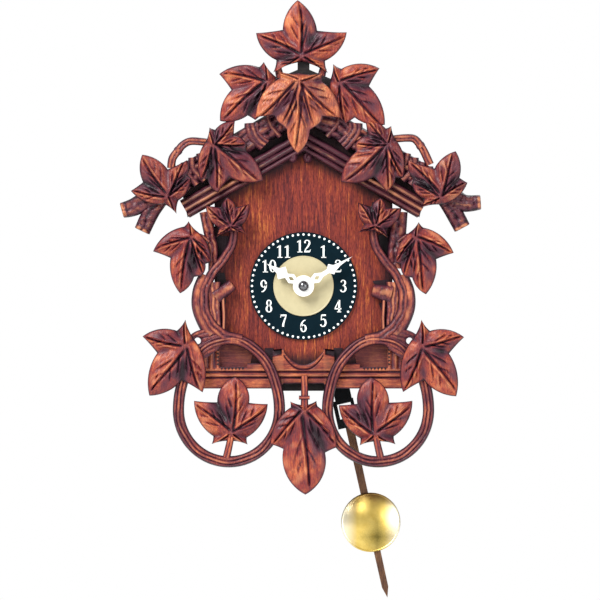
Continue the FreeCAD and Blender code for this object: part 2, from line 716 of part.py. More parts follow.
def centre_bush():
    back = HOUSING_INNER + FLANGE_T
    tube = round_bar(0, 0, BUSH_R, BUSH_FRONT, HOUSING_INNER)
    flange = round_bar(0, 0, FLANGE_R, HOUSING_INNER, back)
    bore = round_bar(0, 0, TUBE_R + FIT, BUSH_FRONT, back)
    return joined([tube, flange]).cut(bore)


def battery():
    length = BATTERY_X[1] - BATTERY_X[0]
    can = Part.makeCylinder(BATTERY_R, length, at(BATTERY_X[0], BATTERY_H, BATTERY_Y), Vector(1, 0, 0))
    seat = at(BATTERY_X[1], BATTERY_H, BATTERY_Y)
    nub = Part.makeCylinder(NUB_R, NUB_END - BATTERY_X[1], seat, Vector(1, 0, 0))
    return joined([can, nub])


def battery_contacts():
    """A dished spring plate at one end of the battery and a flat plate at the other."""
    y0 = BATTERY_Y - CONTACT_HALF
    y1 = BATTERY_Y + CONTACT_HALF
    low = BATTERY_H - CONTACT_HALF
    high = BATTERY_H + CONTACT_HALF
    seat = -INSIDE + CONTACT_T
    back_plate = block(-INSIDE, seat, y0, y1, low, high)
    spring = Part.makeCone(*SPRING_R, BATTERY_X[0] - seat, at(seat, BATTERY_H, BATTERY_Y), Vector(1, 0, 0))
    front_plate = block(NUB_END, INSIDE, y0, y1, low, high)
    return Part.makeCompound([joined([back_plate, spring]), front_plate])


def circuit_board():
    x0, x1, low, high = CIRCUIT
    face = HOUSING_INNER + CIRCUIT_T
    board = block(x0, x1, HOUSING_INNER, face, low, high)
    chip = round_bar(*CHIP, face, face + CHIP_T)
    return joined([board, chip])


def motor_coil():
    seat = HOUSING_INNER + CIRCUIT_T
    low = COIL_H - COIL_HALF
    high = COIL_H + COIL_HALF
    ends = [block(x, x + 1.0, seat, seat + 2 * COIL_HALF, low, high) for x in COIL_ENDS]
    start = COIL_ENDS[0] + 1.0
    middle = at(start, COIL_H, seat + COIL_HALF)
    winding = Part.makeCylinder(COIL_R, COIL_ENDS[1] - start, middle, Vector(1, 0, 0))
    return joined([winding] + ends)


def drive_coil():
    h = PIVOT_H - MAGNET_DROP
    coil = round_bar(PIVOT_X, h, DRIVE_COIL_R, DRIVE_COIL_FRONT, MOVEMENT_BACK)
    return coil.cut(round_bar(PIVOT_X, h, DRIVE_COIL_BORE, DRIVE_COIL_FRONT, MOVEMENT_BACK))


# ---- pendulum ----
EYE_OUT_R = 3.6             # the hanger's pivot eye
SEAT_OUT_R = 4.2            # the magnet's seat
SHANK_HALF = 3.15
FOOT_X = (-4.3, 3.6)        # sides of the open frame at the hanger's foot
FOOT_GAP = (-2.8, 2.3, -73.0, -67.4)
ROD_HALF = (1.2, 1.55)      # half width near the tip and at the top
ROD_TIP = 4.0
FRAME_TOP = -66.0
MAGNET_R = 3.0
ROD_Y = (-13.0, -11.7)
TONGUE = (0.8, 2.0)         # half width and height
TONGUE_Y = (-12.9, -11.8)
BOB_BACK = -13.1
BOB_RIM = 0.9
BOB_RISE = 2.6
CLIP_BACK = -10.9
CLIP_HALF = (5.0, 3.0)      # half width and half height
CHANNEL_HALF = 1.65


def hung(shape):
    """Carry a piece drawn hanging straight down from the pivot to its tilt at rest."""
    shape.translate(Vector(PIVOT_X, 0, PIVOT_H))
    shape.rotate(at(PIVOT_X, PIVOT_H, 0), Vector(0, 1, 0), -SWING)
    return shape


def rod_tongue():
    return block(-TONGUE[0], TONGUE[0], *TONGUE_Y, -ROD_DROP, -ROD_DROP + TONGUE[1])


def pendulum_hanger():
    """A flat moulded arm with a pivot eye, a magnet seat and an open frame at its foot."""
    y0 = HANGER_FRONT
    y1 = HANGER_BACK
    arm = joined([
        round_bar(0, 0, EYE_OUT_R, y0, y1),
        block(-SHANK_HALF, SHANK_HALF, y0, y1, FRAME_TOP, 0.0),
        round_bar(0, -MAGNET_DROP, SEAT_OUT_R, y0, y1),
        block(*FOOT_X, y0, y1, -ROD_DROP, FRAME_TOP),
    ])
    arm = arm.cut(round_bar(0, 0, PIN_R + FIT, y0, y1))
    arm = arm.cut(round_bar(0, -MAGNET_DROP, MAGNET_R, y0, y1))
    x0, x1, low, high = FOOT_GAP
    arm = arm.cut(block(x0, x1, y0, y1, low, high))
    return hung(arm.cut(rod_tongue()))


def pendulum_magnet():
    return hung(round_bar(0, -MAGNET_DROP, MAGNET_R, HANGER_FRONT, HANGER_BACK))


def pendulum_rod():
    half = [(ROD_HALF[0], -ROD_END + ROD_TIP), (ROD_HALF[1], -ROD_DROP)]
    points = [(0.0, -ROD_END)] + half + [(-x, h) for x, h in reversed(half)]
    return hung(joined([panel(points, *ROD_Y), rod_tongue()]))


def bob():
    front = BOB_BACK - BOB_RIM
    ball_r = (BOB_R ** 2 + BOB_RISE ** 2) / (2 * BOB_RISE)
    ball = Part.makeSphere(ball_r, at(0, -BOB_DROP, front - BOB_RISE + ball_r))
    dome = ball.common(round_bar(0, -BOB_DROP, BOB_R, front - BOB_RISE - 1.0, front))
    return hung(joined([round_bar(0, -BOB_DROP, BOB_R, front, BOB_BACK), dome]))


def bob_clip():
    low = -BOB_DROP - CLIP_HALF[1]
    high = -BOB_DROP + CLIP_HALF[1]
    clip = block(-CLIP_HALF[0], CLIP_HALF[0], BOB_BACK, CLIP_BACK, low, high)
    return hung(clip.cut(block(-CHANNEL_HALF, CHANNEL_HALF, BOB_BACK, ROD_Y[1] + 0.1, low, high)))


# ---- all nodes ----
def nodes():
    disc_y = Y_FRONT - DIAL_T
    made = {
        "front_board": front_board(),
        "back_board": back_board(),
        "bottom_board": bottom_board(),
        "board_screws": board_screws(),
        "crown_backing": crown_backing(),
        "base_rail": base_rail(),
        "dial_disc": ring(DIAL_R, BUSH_R, disc_y, Y_FRONT),
        "dial_centre": ring(CENTRE_R, BUSH_R, disc_y - CENTRE_T, disc_y),
        "movement_case": movement_case(),
        "movement_cover": movement_cover(),
        "centre_bush": centre_bush(),
        "bush_nut": ring(BUSH_NUT_R, BUSH_R, BUSH_FRONT + 0.4, disc_y - CENTRE_T),
        "circuit_board": circuit_board(),
        "motor_coil": motor_coil(),
        "drive_coil": drive_coil(),
        "battery": battery(),
        "battery_contacts": battery_contacts(),
        "minute_arbor": minute_arbor(),
        "minute_hand": hand(MINUTE_HALF, *MINUTE_HAND, MINUTE_ANGLE, MINUTE_HAND_Y, ARBOR_TIP_R),
        "hand_nut": hand_nut(),
        "hour_wheel": hour_wheel(),
        "hour_hand": hand(HOUR_HALF, *HOUR_HAND, HOUR_ANGLE, HOUR_HAND_Y, TUBE_R),
        "minute_wheel": minute_wheel(),
        "set_knob": set_knob(),
        "pendulum_hanger": pendulum_hanger(),
        "pendulum_magnet": pendulum_magnet(),
        "pendulum_rod": pendulum_rod(),
        "bob": bob(),
        "bob_clip": bob_clip(),
    }
    on_the_right = {
        "side_wall": side_wall(),
        "roof_board": roof_board(),
        "fascia": fascia(),
    }
    for name, shape in on_the_right.items():
        made[f"{name}_right"] = shape
        made[f"{name}_left"] = mirrored(shape)
    made["loop_left"] = loop()
    made["loop_right"] = mirrored(loop())
    made["vine_left"] = vine("left")
    made["vine_right"] = mirrored(vine("right"))
    for name, form in (("roof_branch", roof_branch), ("roof_stem", roof_stem)):
        made[f"{name}_right"] = form("right")
        made[f"{name}_left"] = mirrored(form("left"))
    made.update(leaves())
    return made


def main():
    os.makedirs("parts", exist_ok=True)
    for name, shape in nodes().items():
        shape.exportStep(f"parts/{name}.step")


main()
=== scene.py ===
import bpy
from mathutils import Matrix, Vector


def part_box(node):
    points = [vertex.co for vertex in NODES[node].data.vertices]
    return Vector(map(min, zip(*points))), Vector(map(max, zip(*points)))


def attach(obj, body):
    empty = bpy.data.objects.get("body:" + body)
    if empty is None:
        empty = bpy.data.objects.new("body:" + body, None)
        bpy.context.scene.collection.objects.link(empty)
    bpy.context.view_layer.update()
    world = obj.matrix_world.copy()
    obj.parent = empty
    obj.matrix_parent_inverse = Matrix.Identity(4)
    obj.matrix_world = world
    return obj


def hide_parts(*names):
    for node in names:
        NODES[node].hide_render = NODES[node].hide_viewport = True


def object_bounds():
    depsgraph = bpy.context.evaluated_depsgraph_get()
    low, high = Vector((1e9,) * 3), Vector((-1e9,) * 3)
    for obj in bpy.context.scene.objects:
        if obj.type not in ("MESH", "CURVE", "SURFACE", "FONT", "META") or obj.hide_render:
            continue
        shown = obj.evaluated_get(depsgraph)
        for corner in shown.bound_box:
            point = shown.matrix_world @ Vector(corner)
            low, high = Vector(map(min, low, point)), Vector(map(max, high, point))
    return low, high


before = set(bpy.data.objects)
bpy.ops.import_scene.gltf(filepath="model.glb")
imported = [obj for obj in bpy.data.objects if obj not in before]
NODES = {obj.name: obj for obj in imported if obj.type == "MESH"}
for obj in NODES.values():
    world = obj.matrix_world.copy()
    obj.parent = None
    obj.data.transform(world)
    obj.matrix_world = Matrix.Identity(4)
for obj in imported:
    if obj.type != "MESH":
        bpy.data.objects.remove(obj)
cad_box = [list(corner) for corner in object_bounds()]

import math

import bpy
from mathutils import Vector, noise

# A small carved pendulum wall clock. Lengths are in millimetres until a mesh is made. "x" is to
# the right, "h" is height above the dial's centre and "y" is depth, more negative to the front.
MM = 0.001


def low(node, axis):
    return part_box(node)[0][axis] / MM


def high(node, axis):
    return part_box(node)[1][axis] / MM


DIAL_Z = (low("dial_disc", 2) + high("dial_disc", 2)) / 2
Y_FRONT = high("dial_disc", 1)          # face of the front board
Y_DIAL = low("dial_disc", 1)
Y_FRAME = low("loop_left", 1)           # face of the loops, branches and vines
Y_RAIL = high("loop_left", 1)           # back of the loops, face of the rail
Y_FASCIA = low("fascia_left", 1)
Y_LEAF = low("crown_top_leaf", 1)
LEAF_T = Y_FRAME - Y_LEAF
DIAL_R = high("dial_disc", 0)
PITCH = 30.0                            # slope of the roof, degrees
SLOPE = math.tan(math.radians(PITCH))


# ---- small maths
def clamp(value, least=0.0, most=1.0):
    return max(least, min(most, value))


def smooth(edge0, edge1, value):
    share = clamp((value - edge0) / (edge1 - edge0))
    return share * share * (3 - 2 * share)


def bell(distance, width):
    return math.exp(-(distance / width) ** 2)


def turn(degrees, reach, origin=(0.0, 0.0)):
    angle = math.radians(degrees)
    return (origin[0] + reach * math.cos(angle), origin[1] + reach * math.sin(angle))


def circle(steps):
    """The cosine and sine of equal steps round a circle."""
    return [turn(360.0 * i / steps, 1.0) for i in range(steps)]


def across_at(line, i, closed=False):
    """The direction across a line at one of its points, to the left of its run."""
    count = len(line)
    before = line[(i - 1) % count] if closed else line[max(i - 1, 0)]
    after = line[(i + 1) % count] if closed else line[min(i + 1, count - 1)]
    length = math.dist(before, after) or 1.0
    return (before[1] - after[1]) / length, (after[0] - before[0]) / length


def rough(x, h, scale, seed):
    """Smooth noise between -1 and 1, the same on each run."""
    return noise.noise(Vector((x / scale + 17.3 * seed, h / scale - 5.1 * seed, 2.7 * seed)))


def arc_points(a, middle, b, count):
    """Points from a towards b along the circle through the three points, b left out."""
    ax, ay = a
    bx, by = middle
    cx, cy = b
    twice = 2 * (ax * (by - cy) + bx * (cy - ay) + cx * (ay - by))
    sa, sb, sc = ax * ax + ay * ay, bx * bx + by * by, cx * cx + cy * cy
    ux = (sa * (by - cy) + sb * (cy - ay) + sc * (ay - by)) / twice
    uy = (sa * (cx - bx) + sb * (ax - cx) + sc * (bx - ax)) / twice
    start = math.atan2(ay - uy, ax - ux)
    sweep = (math.atan2(cy - uy, cx - ux) - start + math.pi) % (2 * math.pi) - math.pi
    radius = math.dist((ux, uy), a)
    places = [start + sweep * i / count for i in range(count)]
    return [(ux + radius * math.cos(p), uy + radius * math.sin(p)) for p in places]


def spline(points, count, closed=False):
    """A smooth line through the points, evenly enough spaced for a sweep."""
    last = len(points)
    spans = last if closed else last - 1

    def get(i):
        return points[i % last] if closed else points[clamp(i, 0, last - 1)]

    line = []
    total = count if closed else count + 1
    for k in range(total):
        place = k / count * spans
        i = min(int(place), spans - 1)
        t = place - i
        p0, p1, p2, p3 = get(i - 1), get(i), get(i + 1), get(i + 2)
        line.append(tuple(
            0.5 * (2 * p1[c] + (p2[c] - p0[c]) * t
                   + (2 * p0[c] - 5 * p1[c] + 4 * p2[c] - p3[c]) * t * t
                   + (3 * p1[c] - p0[c] - 3 * p2[c] + p3[c]) * t ** 3)
            for c in (0, 1)))
    return line


def mirror(points):
    return [(-x, h) for x, h in points]


# ---- meshes
def add_object(name, data):
    thing = bpy.data.objects.new(name, data)
    bpy.context.scene.collection.objects.link(thing)
    return thing


class Shape:
    """Vertices, faces and, for each vertex, how dark it is painted (stain and painted shade above
    zero, painted highlight and paler wood below zero), gathered from several parts.
    """

    def __init__(self):
        self.verts, self.faces, self.stain = [], [], []

    def point(self, x, y, h, stain=0.0):
        self.verts.append((x * MM, y * MM, (DIAL_Z + h) * MM))
        self.stain.append(stain)
        return len(self.verts) - 1

    def skin(self, rows, closed_rows=False, closed_columns=False):
        """Quads between rows of vertex numbers."""
        count = len(rows)
        for i in range(count if closed_rows else count - 1):
            a, b = rows[i], rows[(i + 1) % count]
            width = len(a)
            for j in range(width if closed_columns else width - 1):
                k = (j + 1) % width
                self.faces.append((a[j], a[k], b[k], b[j]))

    def cap(self, *rows):
        """A face over each row of vertex numbers."""
        self.faces += [tuple(row) for row in rows]

    def make(self, name, material, body="case", replaces=(), slot=None, angle=50.0):
        mesh = bpy.data.meshes.new(name)
        mesh.from_pydata(self.verts, [], self.faces)
        # this attribute carries real stain, painted shade and painted highlight to the wood materials
        stain = mesh.attributes.new("stain", "FLOAT", "POINT")
        stain.data.foreach_set("value", self.stain)
        mesh.validate()
        piece = add_object(name, mesh)
        bpy.context.view_layer.objects.active = piece
        piece.select_set(True)
        bpy.ops.object.mode_set(mode="EDIT")
        bpy.ops.mesh.select_all(action="SELECT")
        bpy.ops.mesh.normals_make_consistent(inside=False)
        bpy.ops.object.mode_set(mode="OBJECT")
        bpy.ops.object.shade_smooth_by_angle(angle=math.radians(angle))
        piece.select_set(False)
        mesh.materials.append(material)
        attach(piece, body)
        if replaces:
            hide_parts(*replaces)

    def carve(self, node, material, slot="frame_wood", angle=50.0):
        """The carved piece that stands for a CAD node of the case."""
        self.make(f"{node}_carved", material, "case", (node,), slot, angle)


# ---- materials
EVEN = (1.0, 1.0, 1.0)
GRAIN_UP = (1.0, 1.0, 0.07)
GRAIN_ALONG = (0.07, 1.0, 1.0)
GRAIN_BACK = (1.0, 0.07, 1.0)
# the next three colours: a purple and a near black for stain and painted shade, a pale orange for
# rubbed wear and painted highlight
PURPLE = (0.076, 0.018, 0.032)
WEAR_AND_HIGHLIGHT = (0.72, 0.29, 0.13)
NEAR_BLACK = (0.005, 0.003, 0.006)
WOOD_GLOSS = 0.40


class Value:
    """An output in a shader tree. Arithmetic with it adds Math nodes to the tree."""

    def __init__(self, socket):
        self.socket = socket
        self.tree = socket.id_data

    def maths(self, kind, *values):
        node = self.tree.nodes.new("ShaderNodeMath")
        node.operation = kind
        for socket, value in zip(node.inputs, values):
            plug(value, socket)
        return Value(node.outputs[0])

    def __add__(self, other):
        return self.maths("ADD", self, other)

    def __sub__(self, other):
        return self.maths("SUBTRACT", self, other)

    def __rsub__(self, other):
        return self.maths("SUBTRACT", other, self)

    def __mul__(self, other):
        return self.maths("MULTIPLY", self, other)

    def __abs__(self):
        return self.maths("ABSOLUTE", self)

    def or_more(self, other):
        return self.maths("MAXIMUM", self, other)

    def limited(self):
        """The same output, held between 0 and 1."""
        self.socket.node.use_clamp = True
        return self


def plug(value, socket):
    """Puts a number, a colour or another output into a socket."""
    if isinstance(value, Value):
        value.tree.links.new(value.socket, socket)
    else:
        socket.default_value = (*value, 1.0) if isinstance(value, tuple) else value


def new_material(name):
    material = bpy.data.materials.new(name)
    material.use_nodes = True
    return material, material.node_tree


def finish(material, sockets):
    """Fills the shader's sockets and gives the material back."""
    shader = material.node_tree.nodes["Principled BSDF"]
    for name, value in sockets.items():
        plug(value, shader.inputs[name])
    return material


def noise_node(tree, stretch, scale, detail=4.0, roughness=0.55):
    """Noise over the piece's own place, drawn out along any axis by a small stretch number."""
    place = tree.nodes.new("ShaderNodeTexCoord")
    mapping = tree.nodes.new("ShaderNodeMapping")
    mapping.inputs["Scale"].default_value = stretch
    pattern = tree.nodes.new("ShaderNodeTexNoise")
    pattern.inputs["Scale"].default_value = scale
    pattern.inputs["Detail"].default_value = detail
    pattern.inputs["Roughness"].default_value = roughness
    tree.links.new(place.outputs["Object"], mapping.inputs["Vector"])
    tree.links.new(mapping.outputs["Vector"], pattern.inputs["Vector"])
    return Value(pattern.outputs["Fac"])


def axes(tree):
    """The x and z of each point of the piece, in metres."""
    place = tree.nodes.new("ShaderNodeTexCoord")
    parts = tree.nodes.new("ShaderNodeSeparateXYZ")
    tree.links.new(place.outputs["Object"], parts.inputs["Vector"])
    return Value(parts.outputs["X"]), Value(parts.outputs["Z"])


def ramp(factor, *stops):
    """Stops of place and colour, where a single number is a grey."""
    node = factor.tree.nodes.new("ShaderNodeValToRGB")
    elements = node.color_ramp.elements
    while len(elements) < len(stops):
        elements.new(0.5)
    for element, (place, colour) in zip(elements, stops):
        element.position = place
        element.color = (*(colour if isinstance(colour, tuple) else (colour,) * 3), 1.0)
    plug(factor, node.inputs["Fac"])
    return Value(node.outputs["Color"])


def mix(factor, a, b, kind="MIX"):
    node = a.tree.nodes.new("ShaderNodeMix")
    node.data_type = "RGBA"
    node.blend_type = kind
    for socket, value in ((0, factor), (6, a), (7, b)):
        plug(value, node.inputs[socket])
    return Value(node.outputs[2])


def bump(height, strength, distance):
    node = height.tree.nodes.new("ShaderNodeBump")
    node.inputs["Strength"].default_value = strength
    node.inputs["Distance"].default_value = distance
    plug(height, node.inputs["Height"])
    return Value(node.outputs["Normal"])


def wood(name, dark, middle, light, grain=GRAIN_UP, uses_stain_and_shade=True, patch=150.0, spread=1.0):
    """Stained and varnished limewood: streaky grain, uneven stain, dark in the cuts where stain
    collects and shade is painted, paler where a highlight is painted on the ridges.
    """
    material, tree = new_material(name)
    streaks = noise_node(tree, grain, 1700.0, 6.0, 0.68)
    patches = noise_node(tree, (1.0, 1.0, 0.7), patch, 4.0, 0.6)
    speckle = noise_node(tree, tuple(0.3 if v < 1 else v for v in grain), 2600.0, 2.0, 0.6)
    pores = noise_node(tree, tuple(0.4 * v if v < 1 else v for v in grain), 5200.0, 2.0, 0.5)
    tone = streaks * 0.42 + patches * 0.48 + speckle * 0.22
    colour = ramp(tone, (0.56 - 0.13 * spread, dark), (0.56, middle), (0.56 + 0.14 * spread, light))
    colour = mix(0.8, colour, ramp(pores, (0.34, (0.38, 0.28, 0.34)), (0.46, 1.0)), "MULTIPLY")
    if uses_stain_and_shade:
        attribute = tree.nodes.new("ShaderNodeAttribute")
        attribute.attribute_name = "stain"
        cut = Value(attribute.outputs["Fac"])
        # above zero the attribute darkens the wood with stain and painted shade; below zero it
        # lightens it with rubbed wear and painted highlight
        depth = cut + patches * 0.34 - 0.17
        colour = mix((cut * -1.0).limited(), colour, WEAR_AND_HIGHLIGHT)
        colour = mix((depth * 1.7).limited(), colour, PURPLE)
        colour = mix((depth * 1.9 - 1.05).limited(), colour, NEAR_BLACK)
    return finish(material, {
        "Base Color": colour,
        "Roughness": ramp(streaks, (0.3, WOOD_GLOSS + 0.14), (0.7, WOOD_GLOSS - 0.08)),
        "Specular IOR Level": 0.24,
        "Coat Weight": 0.12,
        "Coat Roughness": 0.22,
        "Normal": bump(streaks * 0.6 + pores * 0.4, 0.7, 0.0003),
    })


BOARD_SHADE_TOP = 45.6           # the shade starts here at the middle and falls with the roof
BOARD_SHADE_SIDE = 27.5
BOARD_SHADE_FOOT = -24.0


def board_wood():
    """The front board: upright grain, orange where the stain is rubbed, with painted shade under the
    roof, at the sides and at the foot.
    """
    material, tree = new_material("front_board_wood")
    streaks = noise_node(tree, (1.0, 1.0, 0.075), 1900.0, 6.0, 0.74)
    patches = noise_node(tree, (1.0, 1.0, 0.35), 60.0, 3.0, 0.5)
    pores = noise_node(tree, (1.0, 1.0, 0.16), 3400.0, 3.0, 0.6)
    colour = ramp(streaks * 0.88 + patches * 0.26,
                  (0.44, (0.070, 0.011, 0.015)), (0.56, (0.195, 0.029, 0.021)),
                  (0.64, (0.28, 0.048, 0.022)), (0.75, (0.60, 0.19, 0.045)))
    colour = mix(0.7, colour, ramp(pores, (0.40, (0.34, 0.25, 0.32)), (0.52, 1.0)), "MULTIPLY")
    x, z = axes(tree)
    sideways = abs(x)
    shade = ((sideways * SLOPE + z - (DIAL_Z + BOARD_SHADE_TOP) * MM) * 260.0).limited()
    shaded_flank = ((sideways - BOARD_SHADE_SIDE * MM) * 220.0).limited()
    foot = (((DIAL_Z + BOARD_SHADE_FOOT) * MM - z) * 260.0).limited()
    # painted shade: near black under the roof, beyond the sides and below the foot
    colour = mix(shade.or_more(shaded_flank).or_more(foot) * 0.9, colour, (0.009, 0.005, 0.009))
    return finish(material, {
        "Base Color": colour,
        "Roughness": 0.42,
        "Specular IOR Level": 0.2,
        "Coat Weight": 0.05,
        "Coat Roughness": 0.3,
        "Normal": bump(streaks + pores, 0.3, 0.0002),
    })


def plastic(name, colour, roughness, speckle=0.04, shine_level=0.5):
    """Moulded plastic or smooth paint with a faint uneven sheen."""
    material, tree = new_material(name)
    mottle = noise_node(tree, EVEN, 400.0, 3.0)
    darker = tuple(c * (1 - 2.5 * speckle) for c in colour)
    return finish(material, {
        "Base Color": ramp(mottle, (0.35, darker), (0.65, colour)),
        "Roughness": ramp(mottle, (0.3, roughness - speckle), (0.7, roughness + speckle)),
        "Specular IOR Level": shine_level,
        "Normal": bump(noise_node(tree, EVEN, 3000.0, 2.0), 0.12, 0.00005),
    })


def metal(name, dark, light, roughness, stretch=EVEN, scale=900.0, marks=0.12):
    """Worked metal: brush marks along one direction and a little tarnish."""
    material, tree = new_material(name)
    brushed = noise_node(tree, stretch, scale, 4.0, 0.6)
    tarnish = noise_node(tree, EVEN, 160.0, 3.0)
    return finish(material, {
        "Metallic": 1.0,
        "Base Color": ramp(brushed * 0.5 + tarnish * 0.5, (0.36, dark), (0.62, light)),
        "Roughness": ramp(brushed, (0.3, roughness - marks / 2), (0.7, roughness + marks / 2)),
        "Normal": bump(brushed, 0.2, 0.00006),
    })


# each wood's darkest, middle and lightest colour
leaf_wood = wood("leaf_wood", (0.100, 0.018, 0.028), (0.26, 0.038, 0.028), (0.52, 0.125, 0.042))
dark_leaf_wood = wood("dark_leaf_wood", (0.070, 0.016, 0.026), (0.19, 0.030, 0.028),
                      (0.38, 0.088, 0.040))
golden_leaf_wood = wood("golden_leaf_wood", (0.19, 0.044, 0.034), (0.46, 0.115, 0.050),
                        (0.80, 0.36, 0.15))
frame_wood = wood("frame_wood", (0.060, 0.014, 0.020), (0.20, 0.036, 0.030), (0.46, 0.125, 0.055))
bark_wood = wood("bark_wood", (0.040, 0.012, 0.020), (0.120, 0.026, 0.028), (0.34, 0.090, 0.048),
                 GRAIN_ALONG)
# a dark copy of the wood for the fascia and scrolls, darkened with painted shade under the branch and
# crown
fascia_shade_wood = wood("fascia_shade_wood", (0.024, 0.009, 0.015), (0.085, 0.024, 0.028),
                   (0.21, 0.064, 0.045), GRAIN_ALONG)
rail_wood = wood("rail_wood", (0.070, 0.014, 0.018), (0.24, 0.045, 0.028), (0.55, 0.16, 0.055),
                 GRAIN_ALONG)
case_wood = wood("case_wood", (0.075, 0.022, 0.014), (0.17, 0.048, 0.024), (0.29, 0.095, 0.043),
                 uses_stain_and_shade=False, patch=30.0, spread=1.3)
roof_wood = wood("roof_wood", (0.06, 0.017, 0.011), (0.13, 0.036, 0.020), (0.22, 0.070, 0.034),
                 GRAIN_BACK, uses_stain_and_shade=False, patch=30.0, spread=1.3)
# near black wood, painted as shade
shade_black_wood = wood("shade_black_wood", (0.006, 0.005, 0.006), (0.012, 0.009, 0.010), (0.026, 0.018, 0.016),
                  GRAIN_ALONG, uses_stain_and_shade=False)
rod_wood = wood("rod_wood", (0.055, 0.022, 0.014), (0.125, 0.056, 0.026), (0.24, 0.125, 0.048),
                uses_stain_and_shade=False)
end_wood = wood("end_wood", (0.10, 0.030, 0.024), (0.24, 0.075, 0.040), (0.45, 0.17, 0.080),
                GRAIN_BACK)
white_plastic = plastic("white_plastic", (0.90, 0.90, 0.88), 0.30)
black_plastic = plastic("black_plastic", (0.006, 0.008, 0.010), 0.45, shine_level=0.2)
dial_paint = plastic("dial_paint", (0.0016, 0.010, 0.016), 0.50, shine_level=0.05)
ink = plastic("numeral_paint", (0.88, 0.90, 0.88), 0.45, 0.02, 0.2)
green_board = plastic("green_board", (0.03, 0.20, 0.08), 0.45)
battery_skin = plastic("battery_skin", (0.10, 0.10, 0.12), 0.30)
gilt = plastic("gilt_paint", (0.49, 0.43, 0.255), 0.38, 0.03)
brass = metal("brass", (0.74, 0.50, 0.13), (1.0, 0.80, 0.34), 0.34, (1.0, 1.0, 0.12), 1800.0)
dark_steel = metal("dark_steel", (0.10, 0.10, 0.11), (0.22, 0.22, 0.23), 0.22, marks=0.08)
steel = metal("steel", (0.60, 0.60, 0.62), (0.86, 0.86, 0.88), 0.16, marks=0.08)
copper = metal("copper", (0.50, 0.20, 0.08), (0.82, 0.42, 0.22), 0.35, (0.05, 1.0, 1.0), 4000.0)


# ---- leaves
# A leaf is a ring of pointed lobes about the point where its veins meet. Each lobe is an angle
# from the leaf's heading and a reach as a share of its length, as in the CAD model.
NOTCH = 0.5
FULL_GAP = 75.0
SINUS_GAP = 100.0
SINUS = 0.32
TOP_SINUS = 0.15
MAIN_BELLY = 0.11
BROAD_BELLY = 0.17
BROAD_LEAVES = ("loop", "bottom")
FAR_BELLY = 0.13
NEAR_BELLY = -0.02
BASE_BELLY = -0.06
BASE_ANGLE = 100.0

LOBES = {
    "crown_top": [(0, 1.0), (58, 0.9), (-65, 0.9), (114, 0.56), (-125, 0.53)],
    "crown_front": [(0, 1.0), (22, 0.66), (-21, 0.64), (49, 0.76), (-49, 0.78), (108, 0.35),
                    (-114, 0.3)],
    "crown_side": [(0, 1.0), (32, 0.65), (-48, 0.8), (-116, 0.33)],
    "crown_side_right": [(0, 1.0), (38, 0.67), (-62, 0.7), (-148, 0.32)],
    "roof": [(0, 1.0), (38, 0.55), (83, 0.54), (136, 0.3), (-49, 0.78), (-75, 0.6)],
    "eave": [(0, 1.0), (51, 0.76), (177, 0.42), (-60, 0.85), (-84, 0.62)],
    "eave_right": [(0, 1.0), (44, 0.64), (-139, 0.45), (-60, 1.0), (-84, 0.65)],
    "side": [(0, 1.0), (25, 0.7), (48, 0.55), (-57, 0.72), (-155, 0.27)],
    "small": [(0, 1.0), (45, 1.12), (-47, 1.0), (123, 0.65), (-124, 0.65)],
    "lower": [(0, 1.0), (56, 0.82), (-67, 0.7), (-147, 0.42)],
    "loop": [(0, 1.0), (52, 0.87), (-46, 0.82), (120, 0.38), (-118, 0.33)],
    "bottom": [(0, 1.0), (40, 0.58), (-46, 0.57), (128, 0.18), (-122, 0.2)],
}
# where each pair's veins meet and its heading, left and right, then the length; a right leaf is
# drawn on the left and mirrored
LEAF_PAIRS = {
    "crown_side": ((-13.0, 75.5, 219), (-13.0, 75.0, 222), 23.0),
    "eave": ((-50.5, 33.3, 121), (-50.5, 33.0, 109), 17.8),
    "roof": ((-33.5, 52.0, -35), (-31.5, 52.5, -38), 22.5),
    "side": ((-41.2, 18.3, 258), (-41.2, 18.0, 259), 21.5),
    "small": ((-27.0, 22.3, 96), (-26.5, 22.3, 101), 10.5),
    "lower": ((-44.0, -22.0, 235), (-43.8, -22.0, 236), 22.7),
    "loop": ((-26.7, -55.0, 86), (-26.7, -55.2, 85), 21.4),
}
CROWN_TOP = (-0.7, 84.6, 94)
CROWN_TOP_LONG = 21.19
CROWN_FRONT = (-1.7, 75.8, -91)
CROWN_FRONT_LONG = 27.0
BOTTOM = (0.4, -46.0, -89.5)
BOTTOM_LONG = 31.2
ARC_STEPS = 19
RINGS = 32


def belly(kind, angle, side):
    """Bulge of the edge on one side of a lobe, where side is 1 towards greater angles."""
    if angle == 0:
        return BROAD_BELLY if kind in BROAD_LEAVES else MAIN_BELLY
    if abs(angle) > BASE_ANGLE:
        return BASE_BELLY
    return FAR_BELLY if side * angle > 0 else NEAR_BELLY


